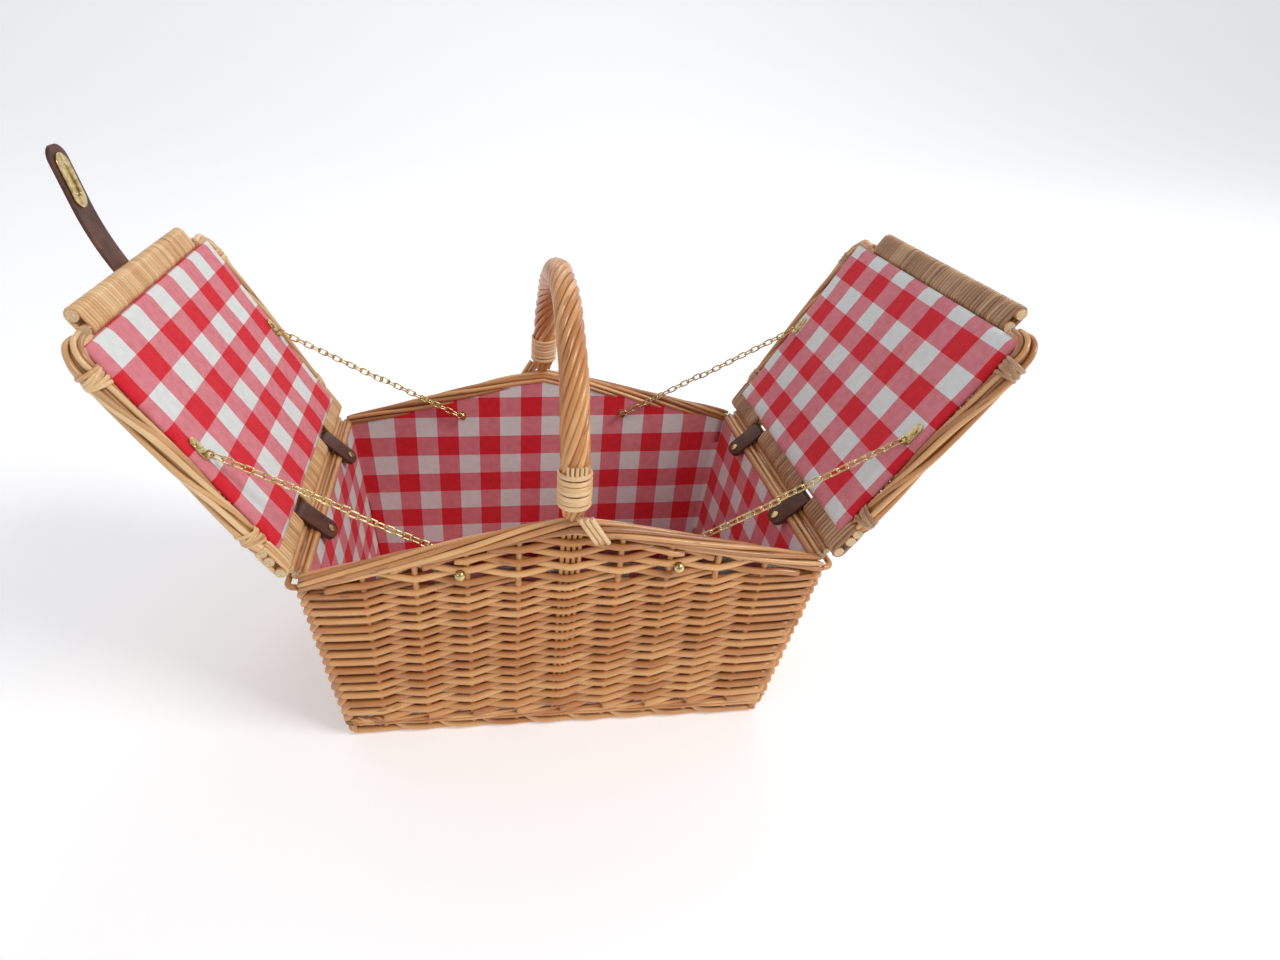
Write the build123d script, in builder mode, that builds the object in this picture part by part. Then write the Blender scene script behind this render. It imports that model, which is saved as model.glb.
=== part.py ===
"""Twin-lid wicker picnic basket, in millimetres.

+X runs along the basket's length, +Z is up, and the origin is the middle of the base's underside.
Both lids stand open against their chains. A lid's own directions are s, from its hinge stick to
its free edge, and n, from the lid towards the inside of the basket when it is shut.
"""
import os
from math import atan, cos, degrees, radians, sin

from build123d import *

os.makedirs("parts", exist_ok=True)

# Body
BASE_LENGTH = 366
BASE_WIDTH = 224
END_HEIGHT = 188
PEAK_HEIGHT = 240
END_LEAN = 17 / 188
SIDE_LEAN = 17 / 240
TOP_LENGTH = BASE_LENGTH + 2 * END_LEAN * END_HEIGHT
ROOF_SLOPE = (PEAK_HEIGHT - END_HEIGHT) / (TOP_LENGTH / 2)
WALL = 8
CORNER = 8.4
FOOT_RADIUS = 4.4
FOOT_HEIGHT = 8.9
WALE_HEIGHT = 13
WALL_FOOT = 22
BASE_THICKNESS = 8
LINING = 1.2
FIT_GAP = 0.1

# Rods
STAKE_RADIUS = 2.4
STAKE_DEPTH = 5.6
POST_RADIUS = 4
RIM_ROD = 3.2
RIM_PITCH = 6.5
RIM_DROP = 13.6
RIM_PEAK_RADIUS = 60
RIM_END = 196
END_ROD = 3.1
END_ROD_X = (191.5, 198)
END_ROD_Z = END_HEIGHT - END_ROD
UPPER_END_ROD = 2.6
UPPER_END_ROD_AT = (200.5, 190.3)
END_WALL_TOP = 175.5

# Handle
CORE_RADIUS = 3.5
CORE_DEPTH = 4.4
CORE_FOOT = 70
SPRING_HEIGHT = 233
HANDLE_RADIUS = 10.6
BINDING = 1.7
BINDING_START = 7
BINDING_ARC = 11.5

# Lids
HINGE_X = 204
HINGE_Z = 197.5
OPEN_ANGLE = 61
STICK = 3.8
WRAP = 0.9
BAR_HALF = 127
BAR_STICKS = (0, 12, 19.8)
LIP_STICKS = (189, 199.4)
LIP_HALF = 94
PANEL_START = 27
PANEL_END = 183
PANEL_HALF = 114.5
PANEL_THICKNESS = 9
BORDER_ROD = 2.8
BORDER_Y = (119.2, 124.9)
BORDER_N = (-2.9, 2.9)
BORDER_END = 190
LID_LINING_START = 12
LID_LINING_END = 184.5
LID_LINING_HALF = 112.5
LID_LINING_THICKNESS = 3
LID_LINING_GAP = 0.2

# Leather
LEATHER = 1.8
STRAP_WIDTH = 20
STRAP_Y = 56
STRAP_TAIL = 14
RIVET_ALONG = 8
CLOSING_WIDTH = 23
CLOSING_THICKNESS = 2.2
CLOSING_AXIS = (204.8, -6.1)
CLOSING_LENGTH = 80
CLOSING_TILT = 4
CLOSING_RUN = 4
CLOSING_BEND = 14
CLOSING_BEND_LENGTH = 40
EYELET_ALONG = 14
EYELET_SIZE = (34, 15)
EYELET_SLOT = (20, 5.6)

# Chains
WALL_STUD_X = 80
WALL_STUD_Y = 110
WALL_STUD_Z = 192
LID_STUD_S = 100
LID_STUD_Y = 106
CHAIN_END_S = 91.5
CHAIN_END_N = 11.5
WALL_LINKS = 13
LID_LINKS = 14
LINK_LENGTH = 9.8
LINK_WIDTH = 6
LINK_WIRE = 0.65
PASSING_GAP = 1.1

# Turn lock, on the right lid
LOCK_S = 160.3
LOCK_PLATE = 1.5


def end_x(z):
    """Outer half length of the body at height z."""
    return BASE_LENGTH / 2 + END_LEAN * z


def side_y(z):
    """Outer half width of the body at height z."""
    return BASE_WIDTH / 2 + SIDE_LEAN * z


def rim_top(x):
    """Height of the long rim's top line at x."""
    return PEAK_HEIGHT - ROOF_SLOPE * abs(x)


def save(piece, label):
    """Label a finished piece and write it."""
    piece.label = label
    export_step(piece, f"parts/{label}.step")


def rod(start, end, radius):
    """Add a straight round stick to the part being built."""
    axis = Vector(*end) - Vector(*start)
    with BuildSketch(Plane(origin=start, z_dir=axis)) as section:
        Circle(radius)
    extrude(section.sketch, amount=axis.length)


def side_plane(side, depth=0):
    """Plane of a long wall, sloping outwards, at a depth inside its outer face.

    Its x runs along the basket and its y up the wall. side is -1 in front and 1 at the back.
    """
    slope = atan(SIDE_LEAN)
    normal = Vector(1, 0, 0).cross(Vector(0, side * sin(slope), cos(slope)))
    outer_face = Plane(origin=(0, side * BASE_WIDTH / 2, 0), x_dir=(1, 0, 0), z_dir=normal)
    return outer_face.offset(side * depth)


def end_plane(side, depth=0):
    """Plane of an end wall, at a depth inside its outer face. Its x runs along +Y and its y up."""
    slope = atan(END_LEAN)
    normal = Vector(0, 1, 0).cross(Vector(side * sin(slope), 0, cos(slope)))
    outer_face = Plane(origin=(side * BASE_LENGTH / 2, 0, 0), x_dir=(0, 1, 0), z_dir=normal)
    return outer_face.offset(-side * depth)


def on_side(z):
    """Distance up a long wall's plane at height z."""
    return z / cos(atan(SIDE_LEAN))


def on_end(z):
    """Distance up an end wall's plane at height z."""
    return z / cos(atan(END_LEAN))


SIDES = {"front": -1, "back": 1}
ENDS = {"left": -1, "right": 1}

# Base: a foot border round a woven board, with lengthwise sticks in the board
BASE_INSET = 2 * FOOT_RADIUS + FIT_GAP
BASE_STICK_Y = [-80, -48, -16, 16, 48, 80]
BASE_STICK_Z = BASE_THICKNESS - STAKE_RADIUS
FOOT_WEAR = 0.2

with BuildPart() as foot_border:
    ring_x = BASE_LENGTH / 2 - FOOT_RADIUS
    ring_y = BASE_WIDTH / 2 - FOOT_RADIUS
    ring_z = FOOT_RADIUS - FOOT_WEAR
    with BuildLine(Plane.XY.offset(ring_z)) as foot_path:
        FilletPolyline((-ring_x, -ring_y), (ring_x, -ring_y), (ring_x, ring_y), (-ring_x, ring_y),
                       radius=FOOT_RADIUS + 1, close=True)
    with BuildSketch(Plane(origin=foot_path.line @ 0, z_dir=foot_path.line % 0)):
        Circle(FOOT_RADIUS)
    sweep(path=foot_path.line)
    split(bisect_by=Plane.XY, keep=Keep.TOP)
save(foot_border.part, "foot_border")

with BuildPart() as base_weave:
    with BuildSketch():
        RectangleRounded(BASE_LENGTH - 2 * BASE_INSET, BASE_WIDTH - 2 * BASE_INSET, 2)
    extrude(amount=BASE_THICKNESS)
    with BuildSketch(Plane.XY.offset(BASE_THICKNESS)):
        for y in BASE_STICK_Y:
            with Locations((0, y)):
                Rectangle(BASE_LENGTH, 2 * STAKE_RADIUS)
    extrude(amount=-2 * STAKE_RADIUS, mode=Mode.SUBTRACT)
save(base_weave.part, "base_weave")

with BuildPart() as base_sticks:
    reach = BASE_LENGTH / 2 - BASE_INSET
    for y in BASE_STICK_Y:
        rod((-reach, y, BASE_STICK_Z), (reach, y, BASE_STICK_Z), STAKE_RADIUS - FIT_GAP)
save(base_sticks.part, "base_sticks")

# Uprights: corner posts, and stakes that the weave passes round
with BuildPart() as corner_posts:
    for x_side in (-1, 1):
        for y_side in (-1, 1):
            lower, upper = [(x_side * (end_x(z) - CORNER / 2), y_side * (side_y(z) - CORNER / 2), z)
                            for z in (FOOT_HEIGHT, END_WALL_TOP)]
            rod(lower, upper, POST_RADIUS)
save(corner_posts.part, "corner_posts")

LONG_STAKE_X = [-150, -112.5, -75, -37.5, 37.5, 75, 112.5, 150]
END_STAKE_Y = [-76, -38, 0, 38, 76]

with BuildPart() as long_stakes:
    for side in SIDES.values():
        for x in LONG_STAKE_X:
            levels = (FOOT_HEIGHT, rim_top(x) - RIM_DROP)
            lower, upper = [(x, side * (side_y(z) - STAKE_DEPTH), z) for z in levels]
            rod(lower, upper, STAKE_RADIUS - FIT_GAP)
save(long_stakes.part, "long_stakes")

with BuildPart() as end_stakes:
    for side in ENDS.values():
        for y in END_STAKE_Y:
            lower, upper = [(side * (end_x(z) - STAKE_DEPTH), y, z) for z in (FOOT_HEIGHT, END_WALL_TOP)]
            rod(lower, upper, STAKE_RADIUS - FIT_GAP)
save(end_stakes.part, "end_stakes")

# A band of waling round the bottom, outside the stakes
STAKE_FACE = STAKE_DEPTH - STAKE_RADIUS
WALE_BAND = STAKE_FACE - 1
WALE_LENGTH = 2 * end_x(WALE_HEIGHT)
WALE_WIDTH = 2 * side_y(WALE_HEIGHT)
with BuildPart() as base_wale:
    with BuildSketch(Plane.XY.offset(WALE_HEIGHT)):
        RectangleRounded(WALE_LENGTH, WALE_WIDTH, POST_RADIUS)
        Rectangle(WALE_LENGTH - 2 * WALL + 1, WALE_WIDTH - 2 * WALE_BAND, mode=Mode.SUBTRACT)
        Rectangle(WALE_LENGTH - 2 * WALE_BAND, WALE_WIDTH - 2 * WALL + 1, mode=Mode.SUBTRACT)
    extrude(amount=WALL_FOOT - WALE_HEIGHT - FIT_GAP)
    add(corner_posts.part, mode=Mode.SUBTRACT)
save(base_wale.part, "base_wale")

# Woven walls, with an upright slot for each stake and for the handle's foot
CORE_SLOT = 2 * CORE_RADIUS + 2 * FIT_GAP
for name, side in SIDES.items():
    with BuildPart() as wall:
        with BuildSketch(side_plane(side)):
            foot = end_x(WALL_FOOT) - CORNER
            head = end_x(END_WALL_TOP) - CORNER
            eave = on_side(rim_top(head) - RIM_DROP)
            with BuildLine():
                FilletPolyline((-head, eave), (0, on_side(PEAK_HEIGHT - RIM_DROP)), (head, eave),
                               radius=RIM_PEAK_RADIUS)
                Polyline((head, eave), (foot, on_side(WALL_FOOT)), (-foot, on_side(WALL_FOOT)), (-head, eave))
            make_face()
        extrude(amount=side * WALL)
        with BuildSketch(side_plane(side, WALL)):
            with Locations(*[(x, on_side(PEAK_HEIGHT) / 2) for x in LONG_STAKE_X]):
                Rectangle(2 * STAKE_RADIUS, PEAK_HEIGHT * 2)
        extrude(amount=-side * (WALL - STAKE_FACE), mode=Mode.SUBTRACT)
        with BuildSketch(side_plane(side, WALL)):
            with Locations((0, on_side(CORE_FOOT) - 1 + PEAK_HEIGHT / 2)):
                Rectangle(CORE_SLOT, PEAK_HEIGHT)
        extrude(amount=-side * (WALL - CORE_DEPTH + CORE_RADIUS + FIT_GAP), mode=Mode.SUBTRACT)
    save(wall.part, f"{name}_wall")

for name, side in ENDS.items():
    with BuildPart() as wall:
        with BuildSketch(end_plane(side)):
            foot = side_y(WALL_FOOT) - CORNER
            head = side_y(END_WALL_TOP) - CORNER
            Polygon((-foot, on_end(WALL_FOOT)), (foot, on_end(WALL_FOOT)), (head, on_end(END_WALL_TOP)),
                    (-head, on_end(END_WALL_TOP)), align=None)
        extrude(amount=-side * WALL)
        with BuildSketch(end_plane(side, WALL)):
            with Locations(*[(y, END_HEIGHT / 2) for y in END_STAKE_Y]):
                Rectangle(2 * STAKE_RADIUS, 2 * END_HEIGHT)
        extrude(amount=side * (WALL - STAKE_FACE), mode=Mode.SUBTRACT)
    save(wall.part, f"{name}_wall")

# Cloth lining: the inside of the body at one depth, less the inside at a cloth's thickness more
LINING_DEPTH = WALL + FIT_GAP
LINING_TOP = PEAK_HEIGHT + 20
with BuildPart() as body_lining:
    for depth, floor, how in ((LINING_DEPTH, BASE_THICKNESS + FIT_GAP, Mode.ADD),
                              (LINING_DEPTH + LINING, BASE_THICKNESS + FIT_GAP + LINING, Mode.SUBTRACT)):
        for z in (floor, LINING_TOP):
            with BuildSketch(Plane.XY.offset(z)):
                Rectangle(2 * (end_x(z) - depth), 2 * (side_y(z) - depth))
        loft(mode=how)
    with BuildSketch(Plane.XZ):
        eave = rim_top(BASE_LENGTH) - RIM_DROP
        with BuildLine():
            FilletPolyline((-BASE_LENGTH, eave), (0, PEAK_HEIGHT - RIM_DROP), (BASE_LENGTH, eave),
                           radius=RIM_PEAK_RADIUS)
            Polyline((BASE_LENGTH, eave), (BASE_LENGTH, 2 * LINING_TOP), (-BASE_LENGTH, 2 * LINING_TOP),
                     (-BASE_LENGTH, eave))
        make_face()
    extrude(amount=BASE_WIDTH, both=True, mode=Mode.SUBTRACT)
save(body_lining.part, "body_lining")

# Handle: a bow let into both long walls, twisted rods round it and a binding at each foot
LEG_Y = side_y(SPRING_HEIGHT) - CORE_DEPTH
BOW_RADIUS = LEG_Y / cos(atan(SIDE_LEAN))
BOW_TURN = 180 + 2 * degrees(atan(SIDE_LEAN))
BOW_CENTRE_Z = SPRING_HEIGHT + BOW_RADIUS * sin(atan(SIDE_LEAN))


def bow(turn, offset=0):
    """Point of the handle's centre line, turn degrees round from its front foot."""
    angle = radians(180 + (BOW_TURN - 180) / 2 - turn)
    return (0, (BOW_RADIUS + offset) * cos(angle), BOW_CENTRE_Z + (BOW_RADIUS + offset) * sin(angle))


def bow_sleeve(start, stop, outer, inner):
    """Add a round sleeve along the handle between two turns from its front foot."""
    with BuildLine() as arc:
        ThreePointArc(bow(start), bow((start + stop) / 2), bow(stop))
    with BuildSketch(Plane(origin=arc.line @ 0, z_dir=arc.line % 0)) as section:
        Circle(outer)
        Circle(inner, mode=Mode.SUBTRACT)
    sweep(section.sketch, path=arc.line)


with BuildPart() as handle_core:
    foot_y = side_y(CORE_FOOT) - CORE_DEPTH
    with BuildLine() as core_path:
        Line((0, -foot_y, CORE_FOOT), (0, -LEG_Y, SPRING_HEIGHT))
        ThreePointArc((0, -LEG_Y, SPRING_HEIGHT), bow(BOW_TURN / 2), (0, LEG_Y, SPRING_HEIGHT))
        Line((0, LEG_Y, SPRING_HEIGHT), (0, foot_y, CORE_FOOT))
    with BuildSketch(Plane(origin=core_path.line @ 0, z_dir=core_path.line % 0)):
        Circle(CORE_RADIUS)
    sweep(path=core_path.line)
save(handle_core.part, "handle_core")

with BuildPart() as handle_twist:
    bow_sleeve(BINDING_START, BOW_TURN - BINDING_START, HANDLE_RADIUS, CORE_RADIUS + FIT_GAP)
save(handle_twist.part, "handle_twist")

with BuildPart() as handle_bindings:
    for start in (BINDING_START, BOW_TURN - BINDING_START - BINDING_ARC):
        bow_sleeve(start, start + BINDING_ARC, HANDLE_RADIUS + FIT_GAP + BINDING, HANDLE_RADIUS + FIT_GAP)
save(handle_bindings.part, "handle_bindings")

TAIL_ROD = 1.9
TAIL_STARTS = (3, 7.2, 11.4)
TAIL_LEAN = 14
TAIL_LEVELS = (PEAK_HEIGHT + 3, PEAK_HEIGHT - 20)
RIM_BULGE = 2.1
TAIL_STANDOFF = TAIL_ROD + RIM_BULGE
with BuildPart() as handle_tails:
    for side in SIDES.values():
        for x in TAIL_STARTS:
            upper, lower = [(-side * (x + lean), side * (side_y(z) + TAIL_STANDOFF), z)
                            for lean, z in zip((0, TAIL_LEAN), TAIL_LEVELS)]
            rod(upper, lower, TAIL_ROD)
save(handle_tails.part, "handle_tails")

# Rims: four rods along each long side, notched for the handle, and three rods across each end
RIM_DEPTH = 1.5
RIM_DEPTHS = (RIM_DEPTH, RIM_DEPTH + RIM_PITCH)
RIM_TOP = RIM_ROD + FIT_GAP
RIM_DROPS = (RIM_TOP, RIM_TOP + RIM_PITCH / cos(atan(ROOF_SLOPE)))
for name, side in SIDES.items():
    with BuildPart() as rim:
        for depth in RIM_DEPTHS:
            for drop in RIM_DROPS:
                eave = on_side(rim_top(RIM_END) - drop)
                with BuildLine(side_plane(side, depth)) as path:
                    FilletPolyline((-RIM_END, eave), (0, on_side(PEAK_HEIGHT - drop)), (RIM_END, eave),
                                   radius=RIM_PEAK_RADIUS)
                with BuildSketch(Plane(origin=path.line @ 0, z_dir=path.line % 0)):
                    Circle(RIM_ROD)
                sweep(path=path.line)
        add(handle_core.part, mode=Mode.SUBTRACT)
    save(rim.part, f"{name}_rim")

END_ROD_HALF = side_y(END_ROD_Z) - RIM_DEPTHS[1] - RIM_ROD - 4 * FIT_GAP
with BuildPart() as end_rims:
    for side in ENDS.values():
        for x in END_ROD_X:
            rod((side * x, -END_ROD_HALF, END_ROD_Z), (side * x, END_ROD_HALF, END_ROD_Z), END_ROD)
        x, z = UPPER_END_ROD_AT
        rod((side * x, -END_ROD_HALF, z), (side * x, END_ROD_HALF, z), UPPER_END_ROD)
save(end_rims.part, "end_rims")

LOOP_ROD = 2.4
LOOP_X = END_ROD_X[1] + END_ROD + LOOP_ROD + 3 * FIT_GAP
LOOP_START_X = RIM_END + 1.4
LOOP_Z = 180.5
LOOP_END_Y = 86
LOOP_BEND = 6
with BuildPart() as corner_loops:
    for x_side in (-1, 1):
        for y_side in (-1, 1):
            outer_y = y_side * (side_y(LOOP_Z) - RIM_DEPTHS[0] - 1)
            with BuildLine() as path:
                FilletPolyline((x_side * LOOP_START_X, outer_y, LOOP_Z),
                               (x_side * LOOP_X, outer_y, LOOP_Z),
                               (x_side * LOOP_X, y_side * LOOP_END_Y, LOOP_Z), radius=LOOP_BEND)
            with BuildSketch(Plane(origin=path.line @ 0, z_dir=path.line % 0)):
                Circle(LOOP_ROD)
            sweep(path=path.line)
save(corner_loops.part, "corner_loops")

# Hinge straps: leather round the end rim and the lid's first stick, riveted inside the basket
LOOP_GAP = 0.2
STRAP_RADIUS = LOOP_GAP + LEATHER


def strap_hull(side, extra):
    """Sketch the hull of the end rim's rods and the hinge stick, larger all round by extra."""
    with BuildSketch(mode=Mode.PRIVATE) as hull:
        for x in END_ROD_X:
            with Locations((side * x, END_ROD_Z)):
                Circle(END_ROD + extra)
        with Locations((side * HINGE_X, HINGE_Z)):
            Circle(STICK + extra)
        make_hull()
    return hull.sketch


def strap_tail(side):
    """Start of a strap's tail at its upper face, the tail's direction, and the way its face looks."""
    inner_rod = Vector(side * END_ROD_X[0], END_ROD_Z)
    along = (inner_rod - Vector(side * HINGE_X, HINGE_Z)).normalized()
    facing = Vector(side * along.Y, -side * along.X)
    return inner_rod + facing * (END_ROD + STRAP_RADIUS), along, facing


for name, side in ENDS.items():
    start, along, facing = strap_tail(side)
    corners = [start, start + along * STRAP_TAIL, start + along * STRAP_TAIL - facing * 2 * LEATHER,
               start - facing * 2 * LEATHER]
    with BuildPart() as straps:
        for y in (-STRAP_Y, STRAP_Y):
            with BuildSketch(Plane.XZ.offset(-y)):
                add(strap_hull(side, STRAP_RADIUS))
                Polygon(*[(corner.X, corner.Y) for corner in corners], align=None)
                add(strap_hull(side, LOOP_GAP), mode=Mode.SUBTRACT)
            extrude(amount=STRAP_WIDTH / 2, both=True)
        tip_edges = straps.edges().filter_by(Axis((0, 0, 0), (facing.X, 0, facing.Y)))
        fillet(tip_edges.group_by(Axis.Z)[0], radius=STRAP_WIDTH * 0.4)
    save(straps.part, f"{name}_hinge_straps")

RIVET_HEAD = 3.3
RIVET_SHANK = 1.4
RIVET_RISE = 1.1
RIVET_LENGTH = 2 * LEATHER + 2 * RIVET_RISE
with BuildPart() as hinge_rivets:
    for side in ENDS.values():
        start, along, facing = strap_tail(side)
        for y in (-STRAP_Y, STRAP_Y):
            foot = start + along * RIVET_ALONG - facing * (2 * LEATHER + RIVET_RISE)
            normal = Vector(facing.X, 0, facing.Y)
            seat = Plane(origin=(foot.X, y, foot.Y), z_dir=normal)
            for level, radius, rise in ((0, RIVET_HEAD, RIVET_RISE), (0, RIVET_SHANK, RIVET_LENGTH),
                                        (RIVET_LENGTH - RIVET_RISE, RIVET_HEAD, RIVET_RISE)):
                with BuildSketch(seat.offset(level)):
                    Circle(radius)
                extrude(amount=rise)
save(hinge_rivets.part, "hinge_rivets")


def lid_axes(side, angle=OPEN_ANGLE):
    """Directions s and n of a lid that is open at an angle above the outward level."""
    turn = radians(angle)
    return Vector(side * cos(turn), 0, sin(turn)), Vector(-side * sin(turn), 0, cos(turn))


def lid_point(side, s, y, n, angle=OPEN_ANGLE):
    """Point at s, y and n on a lid."""
    along, inward = lid_axes(side, angle)
    return Vector(side * HINGE_X, y, HINGE_Z) + along * s + inward * n


def lid_face(side, n=0):
    """Plane parallel to a lid at n, with its x along s and its normal along n."""
    along, inward = lid_axes(side)
    return Plane(origin=lid_point(side, 0, 0, n), x_dir=along, z_dir=inward)


def lid_section(side, y=0):
    """Plane across a lid at y, with its x along s and its y along n."""
    along, inward = lid_axes(side)
    return Plane(origin=lid_point(side, 0, y, 0), x_dir=along, z_dir=(0, -side, 0))


def bar_wrap(side, sticks, spans):
    """Add flat wrapping round a row of sticks, over each span of y."""
    for low, high in spans:
        with BuildSketch(lid_section(side, (low + high) / 2)) as section:
            for radius, how in ((STICK + FIT_GAP + WRAP, Mode.ADD), (STICK + FIT_GAP, Mode.SUBTRACT)):
                with BuildSketch(mode=Mode.PRIVATE) as hull:
                    with Locations((sticks[0], 0), (sticks[-1], 0)):
                        Circle(radius)
                    make_hull()
                add(hull.sketch, mode=how)
        extrude(section.sketch, amount=(high - low) / 2, both=True)


LID_STAKE_Y = [-90, -60, -30, 0, 30, 60, 90]
LID_STAKE_N = PANEL_THICKNESS / 2 - STAKE_RADIUS
BORDER_START = 25
BINDING_SPANS = ((27.5, 37.5), (168, 180))
BINDING_CANE = 1.2
WINDOW = STRAP_WIDTH / 2 + 1.5
BAR_SPANS = ((-BAR_HALF, -STRAP_Y - WINDOW), (-STRAP_Y + WINDOW, STRAP_Y - WINDOW),
             (STRAP_Y + WINDOW, BAR_HALF))
TAB_LENGTH = 18
TAB_WIDTH = 7.5
TAB_THICKNESS = 1
TAB_SHIFT = 2
EYE_RADIUS = 2.4
LINING_FACE = STICK + FIT_GAP + WRAP + LID_LINING_GAP + LID_LINING_THICKNESS
STUD_HEAD = 2.3
STUD_HEAD_RISE = 2.4
STUD_LEVELS = (-PANEL_THICKNESS / 2 - RIVET_RISE, -PANEL_THICKNESS / 2, LINING_FACE,
               LINING_FACE + STUD_HEAD_RISE)

for name, side in ENDS.items():
    with BuildPart() as bar:
        with BuildSketch(lid_section(side)):
            with Locations(*[(s, 0) for s in BAR_STICKS]):
                Circle(STICK)
        extrude(amount=BAR_HALF + 1, both=True)
    save(bar.part, f"{name}_lid_hinge_sticks")

    with BuildPart() as wrap:
        bar_wrap(side, BAR_STICKS, BAR_SPANS)
    save(wrap.part, f"{name}_lid_hinge_wrap")

    with BuildPart() as lip:
        with BuildSketch(lid_section(side)):
            with Locations(*[(s, 0) for s in LIP_STICKS]):
                Circle(STICK)
        extrude(amount=LIP_HALF + 1, both=True)
    save(lip.part, f"{name}_lid_lip_sticks")

    with BuildPart() as wrap:
        bar_wrap(side, LIP_STICKS, ((-LIP_HALF, LIP_HALF),))
    save(wrap.part, f"{name}_lid_lip_wrap")

    with BuildPart() as weave:
        middle = (PANEL_START + PANEL_END) / 2
        with BuildSketch(lid_face(side)):
            with Locations((middle, 0)):
                Rectangle(PANEL_END - PANEL_START, 2 * PANEL_HALF)
        extrude(amount=PANEL_THICKNESS / 2, both=True)
        with BuildSketch(lid_face(side, PANEL_THICKNESS / 2)):
            with Locations(*[(middle, y) for y in LID_STAKE_Y]):
                Rectangle(PANEL_END, 2 * STAKE_RADIUS)
        extrude(amount=-2 * STAKE_RADIUS, mode=Mode.SUBTRACT)
    save(weave.part, f"{name}_lid_weave")

    with BuildPart() as stakes:
        for y in LID_STAKE_Y:
            foot, head = [lid_point(side, s, y, LID_STAKE_N) for s in (BORDER_START, PANEL_END + 1)]
            rod(foot, head, STAKE_RADIUS - FIT_GAP)
    save(stakes.part, f"{name}_lid_stakes")

    with BuildPart() as borders:
        for y_side in (-1, 1):
            for y in BORDER_Y:
                for n in BORDER_N:
                    foot, head = [lid_point(side, s, y_side * y, n) for s in (BORDER_START, BORDER_END)]
                    rod(foot, head, BORDER_ROD)
    save(borders.part, f"{name}_lid_borders")

    with BuildPart() as bindings:
        inner_y = BORDER_Y[1] - BORDER_Y[0] + 2 * BORDER_ROD + 2 * FIT_GAP
        inner_n = BORDER_N[1] - BORDER_N[0] + 2 * BORDER_ROD + 2 * FIT_GAP
        for y in (-sum(BORDER_Y) / 2, sum(BORDER_Y) / 2):
            for start, stop in BINDING_SPANS:
                foot = lid_point(side, start, y, 0)
                with BuildSketch(Plane(origin=foot, x_dir=(0, 1, 0), z_dir=lid_axes(side)[0])):
                    RectangleRounded(inner_y + 2 * BINDING_CANE, inner_n + 2 * BINDING_CANE, BORDER_ROD)
                    Rectangle(inner_y, inner_n, mode=Mode.SUBTRACT)
                extrude(amount=stop - start)
    save(bindings.part, f"{name}_lid_bindings")

    with BuildPart() as lining:
        with BuildSketch(lid_face(side, LINING_FACE - LID_LINING_THICKNESS)):
            with Locations(((LID_LINING_START + LID_LINING_END) / 2, 0)):
                Rectangle(LID_LINING_END - LID_LINING_START, 2 * LID_LINING_HALF)
        extrude(amount=LID_LINING_THICKNESS)
    save(lining.part, f"{name}_lid_lining")

    with BuildPart() as tabs:
        for y in (-LID_STUD_Y, LID_STUD_Y):
            with BuildSketch(lid_face(side, LINING_FACE)):
                with Locations((LID_STUD_S - TAB_SHIFT, side * y)):
                    SlotOverall(TAB_LENGTH, TAB_WIDTH)
            extrude(amount=TAB_THICKNESS)
            stations = [lid_point(side, LID_STUD_S, y, n) for n in STUD_LEVELS]
            outer_head, outer_face, inner_face, inner_head = stations
            rod(outer_head, inner_face, RIVET_SHANK)
            rod(outer_head, outer_face, RIVET_HEAD)
            rod(inner_face, inner_head, STUD_HEAD)
            with BuildSketch(lid_section(side, y)):
                with Locations((CHAIN_END_S, CHAIN_END_N)):
                    Circle(EYE_RADIUS + LINK_WIRE)
                    Circle(EYE_RADIUS - LINK_WIRE, mode=Mode.SUBTRACT)
            extrude(amount=LINK_WIRE, both=True)
    save(tabs.part, f"{name}_lid_chain_tabs")

# Chain studs: a ball outside each long wall on a pin that carries the chain's first link
BALL_RADIUS = 4.2
PIN_RADIUS = 1.5
PIN_HEAD = 2.6
PIN_HEAD_RISE = 1.2
PIN_REACH = 2.4
BALL_SINK = 0.4
WASHER = 1
BALL_Y = side_y(WALL_STUD_Z) + BALL_RADIUS - BALL_SINK
SEAT_Y = side_y(WALL_STUD_Z) - LINING_DEPTH - LINING
STUD_STATIONS = (BALL_Y, SEAT_Y, SEAT_Y - WASHER, WALL_STUD_Y - PIN_HEAD_RISE, WALL_STUD_Y - PIN_REACH)
with BuildPart() as wall_studs:
    for x_side in ENDS.values():
        for side in SIDES.values():
            stations = [(x_side * WALL_STUD_X, side * y, WALL_STUD_Z) for y in STUD_STATIONS]
            ball, seat, washer, head, tip = stations
            with Locations(ball):
                Sphere(BALL_RADIUS)
            rod(ball, tip, PIN_RADIUS)
            rod(seat, washer, RIVET_HEAD)
            rod(head, tip, PIN_HEAD)
save(wall_studs.part, "wall_studs")

# Chains: oval links, each at right angles to the last. Each chain is two hanging lengths, one on
# the wall's pin and one on the lid's eye, that lie side by side where they meet.
LINK_HALF = LINK_LENGTH / 2 - LINK_WIRE
LINK_SIDE = LINK_WIDTH / 2 - LINK_WIRE
LINK_STRAIGHT = LINK_HALF - LINK_SIDE
WALL_FIRST = LINK_STRAIGHT
LINK_PLAY = 0.3
LID_FIRST = EYE_RADIUS - 2 * LINK_WIRE - LINK_PLAY + LINK_HALF

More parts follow.
